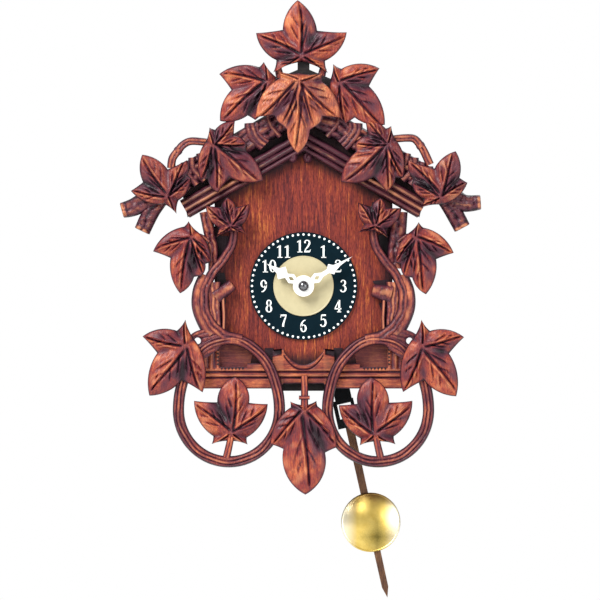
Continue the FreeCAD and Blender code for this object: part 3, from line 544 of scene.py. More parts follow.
def leaf_outline(kind, x, h, heading, length):
    """Closely spaced points round a leaf, and its lobes and valleys as angle and reach."""
    lobes = sorted(LOBES[kind])
    heel = TOP_SINUS if kind == "crown_top" else SINUS
    ring, valleys, bulges = [], [], []
    for i, (angle, share) in enumerate(lobes):
        next_angle, next_share = lobes[(i + 1) % len(lobes)]
        gap = (next_angle - angle) % 360
        mean = math.sqrt(share * next_share) * length
        depth = heel if gap > SINUS_GAP else 1 - NOTCH * min(1.0, gap / FULL_GAP)
        valley = angle + gap * share / (share + next_share)
        ring.append(turn(heading + angle, share * length, (x, h)))
        ring.append(turn(heading + valley, mean * depth, (x, h)))
        valleys.append((heading + valley, mean * depth))
        bulges += [belly(kind, angle, 1), belly(kind, next_angle, -1)]
    edge = []
    for here, there, bulge in zip(ring, ring[1:] + ring[:1], bulges):
        middle = ((here[0] + there[0]) / 2, (here[1] + there[1]) / 2)
        bulged = (middle[0] + bulge * (there[1] - here[1]), middle[1] + bulge * (here[0] - there[0]))
        edge += arc_points(here, bulged, there, ARC_STEPS)
    tips = [(heading + angle, share * length) for angle, share in lobes]
    return edge, tips, valleys


def along_and_across(dx, dh, degrees):
    c, s = math.cos(math.radians(degrees)), math.sin(math.radians(degrees))
    return dx * c + dh * s, dh * c - dx * s


# side strokes of a lobe: where each leaves the vein, how far it leans away, and its length
VEINS = ((0.20, 28.0, 0.46), (0.47, 34.0, 0.30))
SMALL_LOBE = 0.45               # a lobe shorter than this share of the longest has no side strokes


def main_vein(along, across, n, reach, hand, seed):
    """Height and stain that one lobe's main vein adds: a groove dark with stain and painted shade, a
    painted highlight on one bank and painted shade on the other flank.
    """
    share = along / reach
    spread = bell(across, reach * 0.30)
    gouge = rough(along * 0.2, across * 1.6, 1.0, seed + 5 * n)
    window = smooth(0.02, 0.12, share) * (1 - smooth(0.84, 0.98, share))
    groove = across - 0.045 * reach * math.sin(2.8 * share + n + seed)
    width = 0.018 * reach * (1.2 - 0.8 * share) + 0.16
    bank = groove - hand * 2.0 * width
    crest = window * bell(bank, 0.9 * width) * smooth(0.08, 0.22, share)
    shaded_flank = smooth(0.0, 0.10 * reach, -hand * groove) * bell(across, 0.32 * reach)
    shaded_flank *= smooth(0.1, 0.3, share)
    sunny = smooth(0.12 * reach, 0.24 * reach, hand * groove) * bell(across, 0.34 * reach)

    height = 0.06 * gouge * spread * smooth(0.1, 0.35, share)
    height -= 0.14 * smooth(0.55, 1.05, share) * spread
    height -= 0.36 * window * bell(groove, width)
    height += 0.20 * window * bell(bank, 1.2 * width)
    height += 0.06 * window * bell(groove + hand * 3.0 * width, 2.0 * width)
    height -= 0.07 * shaded_flank

    # painted shade on the flank away from the crest; painted highlight on the crest bank and the lit
    # side beyond it
    stain = 0.16 * max(0.0, gouge) * spread * smooth(0.2, 0.5, share)
    stain += 0.90 * window * bell(groove, 0.7 * width)
    stain -= 0.62 * crest * (0.7 + 0.4 * rough(along, 0.0, 2.0, seed + n))
    stain += 0.46 * shaded_flank * (1 - smooth(0.68, 0.95, share))
    stain -= 0.10 * sunny * smooth(0.3, 0.6, share)
    return height, stain


def side_strokes(dx, dh, n, angle, reach, hand, seed):
    """Height and stain that the strokes beside one lobe's main vein add: dark strokes of stain and
    painted shade, each with a painted highlight beside it.
    """
    height = stain = 0.0
    for side in (-1, 1):
        for start, lean, span in VEINS:
            ox, oh = turn(angle, (start + 0.05 * side * hand) * reach)
            leaning = angle + side * (lean + 5.0 * math.sin(3.7 * n + 1.3 * seed + side + lean))
            vein, off = along_and_across(dx - ox, dh - oh, leaning)
            part = vein / (span * reach)
            off += side * part * part * reach * 0.035
            taper = smooth(0.0, 0.25, part) * (1 - smooth(0.6, 1.0, part))
            height -= 0.20 * taper * bell(off, 0.16 + 0.008 * reach)
            height += 0.10 * taper * bell(off - side * 0.6, 0.32)
            stain += 0.60 * taper * bell(off, 0.13 + 0.005 * reach)
            stain -= 0.20 * taper * bell(off - side * 0.65, 0.26)
    return height, stain


def leaf_relief(dx, dh, out, tips, valleys, seed):
    """Height of the carved face above the leaf's back, and how dark it is painted there: stain and
    painted shade in the veins, valleys and rim, painted shade and highlight on the lobes.
    """
    height = 0.52 + 0.40 * (1 - out ** 2.2)
    stain = 0.30 * (1 - smooth(0.12, 0.55, out))
    if out > 0.3:
        rim = (1 - out) * math.hypot(dx, dh) / out
        height -= 0.16 * (1 - smooth(0.0, 0.9, rim))
        # the rim is painted dark: stain collected at the edge and painted shade where it turns away
        stain += 0.95 * (1 - smooth(0.12, 0.62, rim))
    longest = max(reach for _, reach in tips)
    for n, (angle, reach) in enumerate(tips):
        along, across = along_and_across(dx, dh, angle)
        if along <= 0.0:
            continue
        hand = 1 if (n + seed) % 2 else -1
        added = [main_vein(along, across, n, reach, hand, seed)]
        if reach >= SMALL_LOBE * longest:
            added.append(side_strokes(dx, dh, n, angle, reach, hand, seed))
        height += sum(up for up, _ in added)
        stain += sum(dark for _, dark in added)
    for angle, reach in valleys:
        along, across = along_and_across(dx, dh, angle)
        window = smooth(0.15, 0.85, along / max(reach, 0.1))
        height -= 0.26 * window * bell(across, 0.11 * reach + 0.5)
        # valleys between lobes are painted dark with stain and painted shade in the crease
        stain += 0.55 * window * bell(across, 0.06 * reach + 0.35)
    blotch = rough(dx, dh, 3.4, seed + 11)
    stain += 0.22 * blotch - 0.22 * smooth(0.35, 0.85, out) * smooth(0.0, 0.5, -blotch)
    height += 0.05 * rough(dx, dh, 1.9, seed) + 0.02 * rough(dx, dh, 0.7, seed + 2)
    return clamp(height, 0.14, 1.0), clamp(stain, -0.6)


# how the edge turns to the back: share of the outline, height above the back, stain with painted shade
# as it turns away
LEAF_EDGE = ((0.995, 0.14, 0.95), (0.965, 0.03, 0.6), (0.93, 0.0, 0.15))


def carve_leaf(shape, kind, place, length, back, seed, flip, soak):
    x, h, heading = place
    edge, tips, valleys = leaf_outline(kind, x, h, heading, length)
    rows = []
    middle_height, middle_stain_and_shade = leaf_relief(0.0, 0.0, 0.0, tips, valleys, seed)
    centre = shape.point(flip * x, back - LEAF_T * middle_height, h, middle_stain_and_shade)
    for j in range(1, RINGS + 1):
        out = (j / RINGS) ** 0.9
        row = []
        for ex, eh in edge:
            dx, dh = (ex - x) * out, (eh - h) * out
            height, stain = leaf_relief(dx, dh, out, tips, valleys, seed)
            row.append(shape.point(flip * (x + dx), back - LEAF_T * height, h + dh, stain * soak))
        rows.append(row)
    for inset, level, stain in LEAF_EDGE:
        rows.append([
            shape.point(flip * (x + (ex - x) * inset), back - LEAF_T * level, h + (eh - h) * inset,
                        stain)
            for ex, eh in edge
        ])
    shape.skin(rows, closed_columns=True)
    back_centre = shape.point(flip * x, back, h, 0.15)
    for j in range(len(edge)):
        k = (j + 1) % len(edge)
        shape.cap((centre, rows[0][k], rows[0][j]), (back_centre, rows[-1][j], rows[-1][k]))


def leaf_piece(name, kind, place, length, back, seed, flip=1, material=leaf_wood, soak=1.0,
               extra=None):
    shape = Shape()
    carve_leaf(shape, kind, place, length, back, seed, flip, soak)
    if extra:
        extra(shape)
    shape.carve(name, material, "leaf_wood", 60.0)


# ---- carved strands
def band(shape, line, widths, back, front, ridges=3, cut=0.7, seed=1, closed=False, bark=0.0,
         shoulder=1.2, ring_marks=0.0, wave=0.05, tone=None):
    """A carved stem swept along a line, with rounded shoulders and grooves that run its length.

    tone gives extra stain and painted shade from a point's x and h."""
    across_steps = 8 * ridges
    rows = []
    for i, (x, h) in enumerate(line):
        nx, nh = across_at(line, i, closed)
        share = i / max(len(line) - 1, 1)
        half = (widths[0] + share * (widths[1] - widths[0])) / 2
        drift = wave * math.sin(0.35 * i + seed) + 0.07 * math.sin(2.3 * seed)
        profile = [(-0.93, 1.0, 0.15), (-1.0, 0.62, 0.6)]
        for k in range(across_steps + 1):
            u = k / across_steps
            a = 2 * u - 1
            dome = 1 - math.sqrt(max(0.0, 1 - abs(a) ** 2.6))
            groove = abs(math.sin(math.pi * ridges * (u + drift * math.sin(math.pi * u)))) ** 0.5
            fall = (shoulder * dome + cut * (1 - groove)) / max(back - front, 0.1)
            # grooves and falling shoulders are painted dark with stain and painted shade; crest is a
            # painted highlight on each ridge top
            crest = 0.30 * smooth(0.82, 1.0, groove) * (1 - dome)
            profile.append((a * 0.995, fall, 0.95 * (1 - groove) ** 1.2 + 0.75 * dome ** 0.7 - crest))
        profile += [(1.0, 0.62, 0.6), (0.93, 1.0, 0.15)]
        row = []
        for a, fall, stain in profile:
            px, ph = x + nx * a * half, h + nh * a * half
            lump = bark * rough(px, ph, 1.5, seed) + 0.4 * bark * rough(px, ph, 0.7, seed + 3)
            ring = max(0.0, math.sin(1.9 * i + 2.0 * rough(px, ph, 3.0, seed)))
            lump += ring_marks * ring ** 6
            depth = front + (back - front) * clamp(fall) + (lump if fall < 0.6 else 0.0)
            dark = stain + 0.8 * max(0.0, lump) + 0.34 * rough(px, ph, 4.2, seed + 9)
            if tone:
                dark += tone(px, ph)
            row.append(shape.point(px, clamp(depth, front, back), ph, clamp(dark, -0.5)))
        rows.append(row)
    shape.skin(rows, closed_rows=closed, closed_columns=True)
    if not closed:
        shape.cap(rows[0], rows[-1])


LOOP_X = 27.6
LOOP_H = -46.0
LOOP_WIDE = 20.8
LOOP_LOW = 21.2
LOOP_HIGH = 28.4
LOOP_BAND = 4.2
EYE = (39.2, -20.3)
EYE_HOLE_R = 1.2
EYE_PAD = [
    (-44.0, -22.0), (-41.2, -17.6), (-36.0, -15.8), (-31.0, -16.6), (-29.5, -21.0),
    (-37.0, -27.0), (-42.5, -25.5),
]
SWIRL_R = 22.0                  # one of the pad's grooves follows the loop at this radius
SWIRL_RATE = 0.62               # grooves for each millimetre outward


def egg(x, inset, count):
    """Points round a loop: an oval with a longer upper half."""
    line = []
    for c, s in circle(count):
        high_by = LOOP_HIGH if s > 0 else LOOP_LOW
        line.append((x + (LOOP_WIDE - inset) * c, LOOP_H + (high_by - inset) * s))
    return line


def eye_pad(shape, sign):
    """Solid wood round the pierced hole, with grooves that follow the loop."""
    steps, rings = 90, 16
    x, h = sign * EYE[0], EYE[1]
    rows = []
    for ox, oh in spline([(-sign * px, ph) for px, ph in EYE_PAD], steps, closed=True):
        length = math.dist((ox, oh), (x, h))
        ux, uh = (ox - x) / length, (oh - h) / length
        row = [shape.point(x + ux * EYE_HOLE_R, Y_RAIL, h + uh * EYE_HOLE_R, 1.0)]
        for j in range(rings + 1):
            reach = EYE_HOLE_R + (length - EYE_HOLE_R) * j / rings
            px, ph = x + ux * reach, h + uh * reach
            from_loop = math.hypot(px - sign * LOOP_X, ph - LOOP_H) - SWIRL_R
            swirl = abs(math.sin(SWIRL_RATE * math.pi * from_loop)) ** 0.5
            near = 1 - smooth(0.1, 1.0, reach - EYE_HOLE_R)
            edge = 1 - smooth(0.0, 0.9, length - reach)
            fall = 0.55 + 0.5 * (1 - swirl) + 0.5 * near + 0.6 * edge + 0.15 * rough(px, ph, 1.6, 6)
            # dark: stain and painted shade in the grooves, painted shade round the hole and along the
            # edge
            dark = 0.8 * (1 - swirl) + 0.7 * near + 0.5 * edge + 0.3 * rough(px, ph, 2.6, 8)
            row.append(shape.point(px, Y_FRAME + fall, ph, clamp(dark, -0.4)))
        row.append(shape.point(ox, Y_RAIL, oh, 1.0))
        rows.append(row)
    shape.skin(rows, closed_rows=True, closed_columns=True)


def loop_piece(side, sign):
    # painted shade along the loop's outer edge, and a little lighter towards the top
    def soak(x, h):
        high_by = LOOP_HIGH if h > LOOP_H else LOOP_LOW
        outward = math.hypot((x - sign * LOOP_X) / LOOP_WIDE, (h - LOOP_H) / high_by)
        return 0.12 + 0.40 * smooth(0.93, 1.0, outward) - 0.12 * smooth(-30.0, -20.0, h)

    shape = Shape()
    band(shape, egg(sign * LOOP_X, LOOP_BAND / 2, 170), (LOOP_BAND, LOOP_BAND), Y_RAIL, Y_FRAME, 3,
         0.8, 2 + sign, closed=True, bark=0.16, shoulder=1.5, tone=soak)
    eye_pad(shape, sign)
    shape.carve(f"loop_{side}", frame_wood)


WINDING = [
    (-27.0, 31.0), (-26.0, 18.0), (-28.9, 11.0), (-33.6, 5.0),
    (-36.6, -1.5), (-36.5, -9.0), (-33.6, -14.6), (-29.0, -18.4), (-23.0, -20.0),
]
POSTS = {
    "left": ([(-36.2, 27.5), (-34.9, 20.0), (-33.5, 13.0), (-33.6, 5.5)], (4.8, 3.4)),
    "right": ([(-35.4, 27.5), (-34.9, 20.0), (-34.2, 13.0), (-33.9, 6.5)], (6.4, 6.4)),
}
SHOOT = [(-36.6, 4.2), (-39.0, -1.5), (-39.3, -8.0), (-36.8, -14.6), (-34.0, -18.0)]
TWIG = [(-29.9, -3.6), (-29.5, -12.0), (-29.8, -18.2)]
SLAB = [(-33.4, 1.4), (-33.0, -8.0), (-32.2, -16.0)]
HORNS = {
    "left": ([(-32.6, -4.2), (-29.6, -2.0), (-26.3, 0.5)], (5.6, 4.2)),
    "right": ([(-32.6, -3.2), (-29.0, -2.4), (-25.6, -1.5)], (7.4, 4.4)),
}
SPUR = [(-41.2, 18.3), (-38.2, 18.6), (-35.0, 16.4)]
HOLLOWS = {
    "left": [
        [(-32.3, 18.5), (-27.6, 18.5), (-28.4, 14.5), (-32.4, 9.0)],
        [(-32.0, 4.6), (-29.4, 5.0), (-28.4, 1.2), (-32.0, -0.5)],
        [(-31.4, -4.4), (-28.6, -5.0), (-28.8, -6.6), (-31.4, -6.8)],
    ],
    "right": [
        [(-31.4, 19.0), (-27.8, 19.0), (-28.4, 14.5), (-32.6, 7.6)],
        [(-31.6, 2.4), (-25.6, 1.9), (-26.0, 0.8), (-31.6, 0.0)],
        [(-30.8, -6.2), (-27.9, -6.4), (-28.8, -9.0), (-30.8, -8.0)],
    ],
}


def side_line(points, sign):
    """Points drawn on the left side, put on the side that the sign names."""
    return points if sign < 0 else mirror(points)


def dark_floor(shape, corners, sign, front, back=Y_FRONT, stain=1.0):
    """A flat floor in a hollow, painted dark for the shade that lies in it."""
    points = side_line(corners, sign)
    face = [shape.point(x, front, h, stain) for x, h in points]
    rear = [shape.point(x, back, h, stain) for x, h in points]
    shape.skin([face, rear], closed_columns=True)
    shape.cap(face, rear)


def vine_piece(side, sign):
    shape, ends = Shape(), Shape()
    post, post_widths = POSTS[side]
    horn, horn_widths = HORNS[side]
    horn_soak = 0.0 if side == "left" else -0.15
    # line, widths, front, ridges, cut, bark, shoulder and extra stain of each strand
    strands = (
        (post, post_widths, Y_FRAME + 1.2, 2, 0.8, 0.7, 1.4, 0.0),
        (SPUR, (1.5, 1.5), Y_FRAME + 0.7, 1, 0.2, 0.10, 0.7, 0.0),
        (SLAB, (5.6, 3.4), Y_FRAME + 1.3, 3, 0.35, 0.45, 0.9, -0.2),
        (horn, horn_widths, Y_FRAME + 0.5, 1, 0.2, 0.55, 1.5, horn_soak),
        (WINDING, (3.2, 4.4), Y_FRAME, 2, 0.7, 0.14, 1.4, 0.15),
        (SHOOT, (4.0, 4.2), Y_FRAME + 0.4, 1, 0.3, 0.30, 1.5, 0.06),
        (TWIG, (1.3, 1.3), Y_FRAME + 1.4, 1, 0.1, 0.05, 0.6, -0.3),
    )
    for n, (line, widths, front, ridges, cut, bark, shoulder, extra) in enumerate(strands):
        path = spline(side_line(line, sign), 16 * len(line))
        band(shape, path, widths, Y_FRONT, front, ridges, cut, n + 5 + sign, bark=bark,
             shoulder=shoulder, tone=lambda x, h, extra=extra: extra)
    sawn_end(ends, spline(side_line(horn, sign), 40), horn_widths[1], Y_FRONT, Y_FRAME + 0.9)
    # each hollow gets a floor painted dark as shade
    for corners in HOLLOWS[side]:
        dark_floor(shape, corners, sign, Y_FRONT - 0.5)
    shape.carve(f"vine_{side}", frame_wood)
    ends.make(f"vine_{side}_end", end_wood, slot="frame_wood")


# ---- roof
FASCIA_LOW = 49.6
FASCIA_W = 7.4
FASCIA_END = 44.0
BRANCH_TOP = 71.4
BRANCH_DROP = 10.6
BRANCH_W = BRANCH_DROP * math.cos(math.radians(PITCH))
BRANCH_END = 47.0
BRANCH_MIDDLE = BRANCH_TOP - BRANCH_DROP / 2
LONG_STUBS = {
    "left": ([(46.0, 39.6), (54.0, 34.6), (62.0, 29.6), (67.2, 28.0)], (9.0, 5.6)),
    "right": ([(46.0, 39.6), (53.0, 34.8), (59.0, 30.8), (65.5, 31.0)], (9.0, 5.3)),
}
SHORT_STUBS = {
    "left": ([(50.5, 36.0), (56.0, 28.2), (59.8, 20.4)], (6.6, 6.0)),
    "right": ([(50.5, 36.0), (54.5, 29.5), (58.8, 21.5)], (7.0, 6.2)),
}
# place along the roof, width, how proud it stands and ridges of each wrap round the branch
SLEEVES = (
    (11.4, 2.4, 0.1, 1), (17.2, 5.8, 0.5, 3), (36.6, 2.9, 0.1, 1), (39.4, 3.0, 0.5, 1),
    (42.3, 3.0, 0.3, 1), (45.0, 2.6, 0.0, 1),
)
SCROLLS = ((-4.0, 48.0, 1.9), (1.6, 47.6, 1.7))
SCROLL_TALL = 1.25


def down_slope(start_h, reach, count, sign):
    """Points down one side of the roof, from the ridge."""
    return [(sign * reach * i / count, start_h - SLOPE * reach * i / count) for i in range(count + 1)]


def fascia_piece(side, sign):
    shape = Shape()
    middle = FASCIA_LOW + FASCIA_W / 2 / math.cos(math.radians(PITCH))
    line = down_slope(middle, FASCIA_END, 70, sign)
    # darker towards the middle: painted shade under the crown's front leaf
    band(shape, line, (FASCIA_W, FASCIA_W), Y_FRONT, Y_FASCIA, 3, 2.2, 11 + sign, bark=0.10,
         shoulder=1.0, wave=0.006, tone=lambda x, h: 0.45 * (1 - smooth(6.0, 27.0, abs(x))) - 0.12)
    shape.carve(f"fascia_{side}", fascia_shade_wood)


def sawn_end(shape, line, width, back, front):
    """The pale sawn face at the end of a stub, slightly proud, with growth rings cut in it."""
    (x0, h0), (x1, h1) = line[-2], line[-1]
    length = math.dist((x0, h0), (x1, h1))
    ax, ah = (x1 - x0) / length, (h1 - h0) / length
    rows = []
    rings = 7
    for j in range(1, rings + 1):
        share = j / rings
        lift, stain = (0.12, 0.45) if j % 2 else (0.0, 0.1)
        row = []
        for c, s in circle(28):
            across = 0.47 * width * share * c
            y = (back + front) / 2 + 0.47 * (back - front) * share * s
            row.append(shape.point(x1 + ax * lift - ah * across, y, h1 + ah * lift + ax * across,
                                   stain))
        rows.append(row)
    shape.skin(rows, closed_columns=True)
    shape.cap(rows[0])


def pale_end(line):
    """Extra stain along a stub: dark bark, and a pale cut edge with a dark line behind it."""
    (x0, h0), (x1, h1) = line[-3], line[-1]
    length = math.dist((x0, h0), (x1, h1))

    def tone(x, h):
        short = ((x1 - x) * (x1 - x0) + (h1 - h) * (h1 - h0)) / length
        return 0.1 - 0.85 * (1 - smooth(0.9, 1.3, short)) + 0.5 * bell(short - 1.6, 0.35)
    return tone


def branch_piece(side, sign):
    shape, ends = Shape(), Shape()
    line = down_slope(BRANCH_MIDDLE, BRANCH_END, 90, sign)
    # darker towards the middle: painted shade under the crown's front leaf
    band(shape, line, (BRANCH_W, BRANCH_W * 0.98), Y_FRONT, Y_FRAME, 3, 1.3, 21 + sign, bark=0.9,
         shoulder=2.2, ring_marks=0.2, tone=lambda x, h: 0.25 * (1 - smooth(8.0, 20.0, abs(x))))
    for n, (points, widths) in enumerate((LONG_STUBS[side], SHORT_STUBS[side])):
        stub = spline([(sign * x, h) for x, h in points], 40)
        front = Y_FRAME + 0.15 + 0.3 * n
        band(shape, stub, widths, Y_FRONT, front, 2, 0.6, 31 + sign + n, bark=0.95, shoulder=2.0,
             ring_marks=0.35, tone=pale_end(stub))
        sawn_end(ends, stub, widths[1], Y_FRONT, front + 0.4)
    across = BRANCH_W / 2 + 0.25
    for n, (x, width, proud, ridges) in enumerate(SLEEVES):
        h = BRANCH_MIDDLE - SLOPE * x
        lean = 1.3 if n % 2 else 0.8
        top = turn(90 - PITCH, across, (x - 0.6, h))
        foot = turn(270 - PITCH, across, (x - 0.4, h))
        sweep = [(sign * px, ph) for px, ph in (top, (x + lean, h), foot)]
        band(shape, spline(sweep, 26), (width, width), Y_FRONT, Y_FRAME - proud, ridges, 0.8,
             51 + n + sign, bark=0.30, shoulder=1.9, tone=lambda x, h: 0.18)
    shape.carve(f"roof_branch_{side}", bark_wood)
    ends.make(f"roof_branch_{side}_ends", end_wood, slot="frame_wood")


def scrolls():
    """Two small curled bosses where the fascias meet under the crown."""
    shape = Shape()
    steps, rings = 30, 8
    for n, (x, h, radius) in enumerate(SCROLLS):
        rows = []
        for j in range(1, rings + 1):
            share = j / rings
            row = []
            for i, (c, s) in enumerate(circle(steps)):
                curl = 0.5 + 0.5 * math.sin(2 * math.pi * i / steps + 9.0 * share + n)
                dome = 3.0 * (1 - math.sqrt(1 - 0.9 * share * share))
                y = Y_FASCIA + 0.3 + dome + 2.0 * curl * share * (1 - share)
                row.append(shape.point(x + radius * share * c, min(y, Y_FRONT),
                                       h + SCROLL_TALL * radius * share * s,
                                       0.4 + 0.6 * curl * share))
            rows.append(row)
        rows.append([shape.point(x + radius * c, Y_FRONT, h + SCROLL_TALL * radius * s, 1.0)
                     for c, s in circle(steps)])
        shape.skin(rows, closed_columns=True)
        shape.cap(rows[0], rows[-1])
    shape.make("crown_scrolls", fascia_shade_wood, slot="frame_wood")


STEM_LINES = {
    "left": [(36.0, 53.2), (41.5, 53.6), (44.5, 52.3), (46.5, 50.0), (48.5, 47.2), (49.0, 43.6)],
    "right": [(33.4, 54.4), (38.0, 54.8), (41.1, 54.4), (43.4, 51.8), (45.0, 49.0), (46.8, 44.9)],
}
STEM_WIDTHS = (2.8, 3.1)
STEM_DEEP = 3.0


def stem_piece(side, sign):
    shape = Shape()
    line = spline([(sign * x, h) for x, h in STEM_LINES[side]], 54)
    band(shape, line, STEM_WIDTHS, Y_FRAME + STEM_DEEP, Y_FRAME, 2, 0.45, 41 + sign, bark=0.10,
         shoulder=1.0)
    band(shape, line[30:35:2], (3.3, 3.3), Y_FRAME + STEM_DEEP, Y_FRAME - 0.2, 1, 0.2, 44, bark=0.2,
         shoulder=0.8)
    shape.carve(f"roof_stem_{side}", frame_wood)


# ---- base rail
RAIL_HALF = 37.3
RAIL_FOOT = -38.0
RAIL_RISE = 1.8
RAIL_NOTCH = 7.4
RAIL_SHELF = -30.0
RAIL_GROOVES = (-31.9, -34.0)
DISH_LOW = -29.2
DISH_RISE = 5.4
HORN_TOP = -23.2
HORN_EDGE = 11.4
SLOT_EDGE = 14.4
STEP_EDGE = 20.8
POST_EDGE = 31.2
POST_TOP = -21.0
TOOTH = 1.3


def rail_skin(shape, columns, top_of, front, lip=0.0, tone=None):
    """The face of a stretch of rail, as a fine grid with grooves, and its edges and back."""
    count = 46
    rows = []
    for x in columns:
        top = top_of(x)
        foot = RAIL_FOOT + RAIL_RISE * (1 - smooth(RAIL_NOTCH, RAIL_NOTCH + 1.2, abs(x)))
        row = [shape.point(x, Y_FRONT, foot, 0.5), shape.point(x, front + 0.5, foot, 0.9)]
        for k in range(count + 1):
            h = foot + (top - foot) * k / count
            edge = min(h - foot, top - h)
            depth = 0.45 * (1 - smooth(0.0, 0.7, edge))
            # painted shade along the top and foot edges; each groove and the lip groove are dark with
            # stain and painted shade, each groove with a painted highlight just above it
            dark = 0.9 * (1 - smooth(0.0, 0.6, edge)) + 0.25 * rough(x, h, 4.0, 3)
            for groove in RAIL_GROOVES:
                cut = bell(h - groove, 0.36)
                depth += 0.9 * cut
                dark += cut - 0.35 * bell(h - groove - 0.75, 0.3)
            if lip:
                cut = bell(top - h - lip, 0.32)
                depth += 0.7 * cut
                dark += 0.9 * cut
            if tone:
                more, deeper = tone(x, h)
                dark += more
                depth += deeper
            depth += 0.12 * rough(x, h * 3, 4.0, 9)
            row.append(shape.point(x, front + clamp(depth, 0.0, 2.6), h, clamp(dark, -0.4)))
        row += [shape.point(x, front + 0.5, top, 0.9), shape.point(x, Y_FRONT, top, 0.5)]
        rows.append(row)
    shape.skin(rows, closed_columns=True)
    shape.cap(rows[0], rows[-1])


def steps_between(a, b, step, sign=1):
    count = max(2, int(abs(b - a) / step))
    return [sign * (a + (b - a) * i / count) for i in range(count + 1)]


def horn_tone(x, h):
    # painted shade in the hollow cut behind the horn's top, and a little lighter elsewhere
    hook = smooth(-25.9, -25.3, h + 0.22 * (abs(x) - 9.0)) * smooth(7.9, 8.3, abs(x))
    return 1.1 * hook - 0.12, 1.7 * hook


def post_tone(x, h):
    # above the shelf: painted shade between the post's ridges and painted highlight on them, with cuts
    # between them
    ridge = 0.5 + 0.5 * math.sin(2.6 * (abs(x) - POST_EDGE))
    up = smooth(-31.0, -30.2, h)
    return up * (0.55 * (1 - ridge) - 0.25 * ridge), up * 0.7 * (1 - ridge)


def base_rail_piece():
    # from, to, step, top and extra stain, painted shade and depth of each stretch on one side
    stretches = (
        (RAIL_NOTCH, HORN_EDGE, 0.25, lambda x: HORN_TOP - 0.10 * (abs(x) - RAIL_NOTCH), horn_tone),
        (HORN_EDGE, SLOT_EDGE, 0.3, lambda x: -31.4, None),
        (SLOT_EDGE, STEP_EDGE, 0.4, lambda x: -28.7, None),
        (STEP_EDGE, POST_EDGE, 0.4, lambda x: RAIL_SHELF, None),
        (POST_EDGE, RAIL_HALF, 0.3, lambda x: POST_TOP, post_tone),
    )
    slot_floor = [(-SLOT_EDGE, -23.0), (-11.2, -23.0), (-11.2, -31.8), (-SLOT_EDGE, -31.8)]
    shelf_floor = [(-31.4, -20.5), (-18.0, -20.5), (-20.0, -30.5), (-31.4, -30.5)]
    shape = Shape()
    rail_skin(shape, steps_between(-RAIL_NOTCH, RAIL_NOTCH, 0.3),
              lambda x: DISH_LOW + DISH_RISE * (abs(x) / RAIL_NOTCH) ** 2.2, Y_RAIL, lip=1.9)
    for sign in (-1, 1):
        for start, end, step, top_of, tone in stretches:
            rail_skin(shape, steps_between(start, end, step, sign), top_of, Y_RAIL, tone=tone)
        teeth(shape, sign)
        # the slot and the shelf get floors painted dark as shade
        dark_floor(shape, slot_floor, -sign, Y_FRONT - 0.5)
        dark_floor(shape, shelf_floor, -sign, Y_FRONT - 0.4, stain=0.28)
    shape.carve("base_rail", rail_wood, angle=40.0)


def teeth(shape, sign):
    """A row of small cuts along the shelf and up the post, each a dark wedge painted as shade."""
    spots = [(POST_EDGE + 0.15, RAIL_SHELF + TOOTH * (k + 0.8), 0) for k in range(6)]
    spots += [(POST_EDGE - TOOTH * (k + 0.7), RAIL_SHELF - 0.25, 270) for k in range(7)]
    for x, h, heading in spots:
        corners = [turn(heading + off, reach, (x, h))
                   for off, reach in ((0, 1.0), (90, 0.5), (-90, 0.5))]
        dark_floor(shape, mirror(corners), -sign, Y_RAIL - 0.12, Y_RAIL + 0.6)


# ---- all the leaves
LOOP_STEM_LEAN = 2.2            # the stem meets the loop this far outside its leaf
GOLDEN_SOAK = 0.62              # the crown's front leaf takes less stain
DARK_LEAVES = ("roof", "eave", "small")


def crown_foot(shape):
    """Two stubs of wood left between the top leaf and the one in front of it."""
    for line in ([(-9.4, 80.6), (-8.7, 77.6), (-7.6, 74.6)], [(7.3, 80.6), (6.6, 77.6), (5.6, 74.6)]):
        band(shape, spline(line, 20), (2.6, 3.4), Y_FRONT - 0.4, Y_FRAME + 0.2, 1, 0.3, 91, bark=0.3,
             shoulder=1.0)


def bottom_stem(shape):
    """The bottom leaf's stem, with a small collar."""
    line = [(0.3, -46.0), (0.4, -40.0), (0.3, -33.2)]
    band(shape, spline(line, 30), (2.8, 2.6), Y_RAIL, Y_LEAF + 0.9, 2, 0.4, 77)
    band(shape, [(-1.7, -41.3), (2.3, -41.3)], (1.5, 1.5), Y_FRAME, Y_LEAF + 0.4, 1, 0.1, 78,
         shoulder=0.8)


def loop_stem(place, flip, seed):
    """A maker for the stem that joins a loop's leaf to the foot of the loop."""
    x, h, _ = place
    foot = (x - LOOP_STEM_LEAN, LOOP_H - LOOP_LOW + LOOP_BAND / 2)
    stalk = [(flip * px, ph) for px, ph in ((x, h), (x - 0.8, h - 4.0), foot)]

    def stem(shape):
        band(shape, spline(stalk, 20), (2.4, 2.9), Y_RAIL, Y_FRAME + 0.4, 2, 0.35, seed)
    return stem


def make_leaves():
    leaf_piece("crown_top_leaf", "crown_top", CROWN_TOP, CROWN_TOP_LONG, Y_FRAME, 1, extra=crown_foot)
    seed = 2
    for kind, (left, right, length) in LEAF_PAIRS.items():
        finish_wood = dark_leaf_wood if kind in DARK_LEAVES else leaf_wood
        back = Y_RAIL if kind == "loop" else Y_FRAME
        for side, place, flip in (("left", left, 1), ("right", right, -1)):
            own = f"{kind}_{side}"
            extra = loop_stem(place, flip, seed) if kind == "loop" else None
            leaf_piece(f"{kind.split('_')[0]}_{side}_leaf", own if own in LOBES else kind, place,
                       length, back, seed, flip, finish_wood, extra=extra)
            seed += 1
    leaf_piece("bottom_leaf", "bottom", BOTTOM, BOTTOM_LONG, Y_FRAME, seed, extra=bottom_stem)
    leaf_piece("crown_front_leaf", "crown_front", CROWN_FRONT, CROWN_FRONT_LONG, Y_LEAF, seed + 1,
               material=golden_leaf_wood, soak=GOLDEN_SOAK)


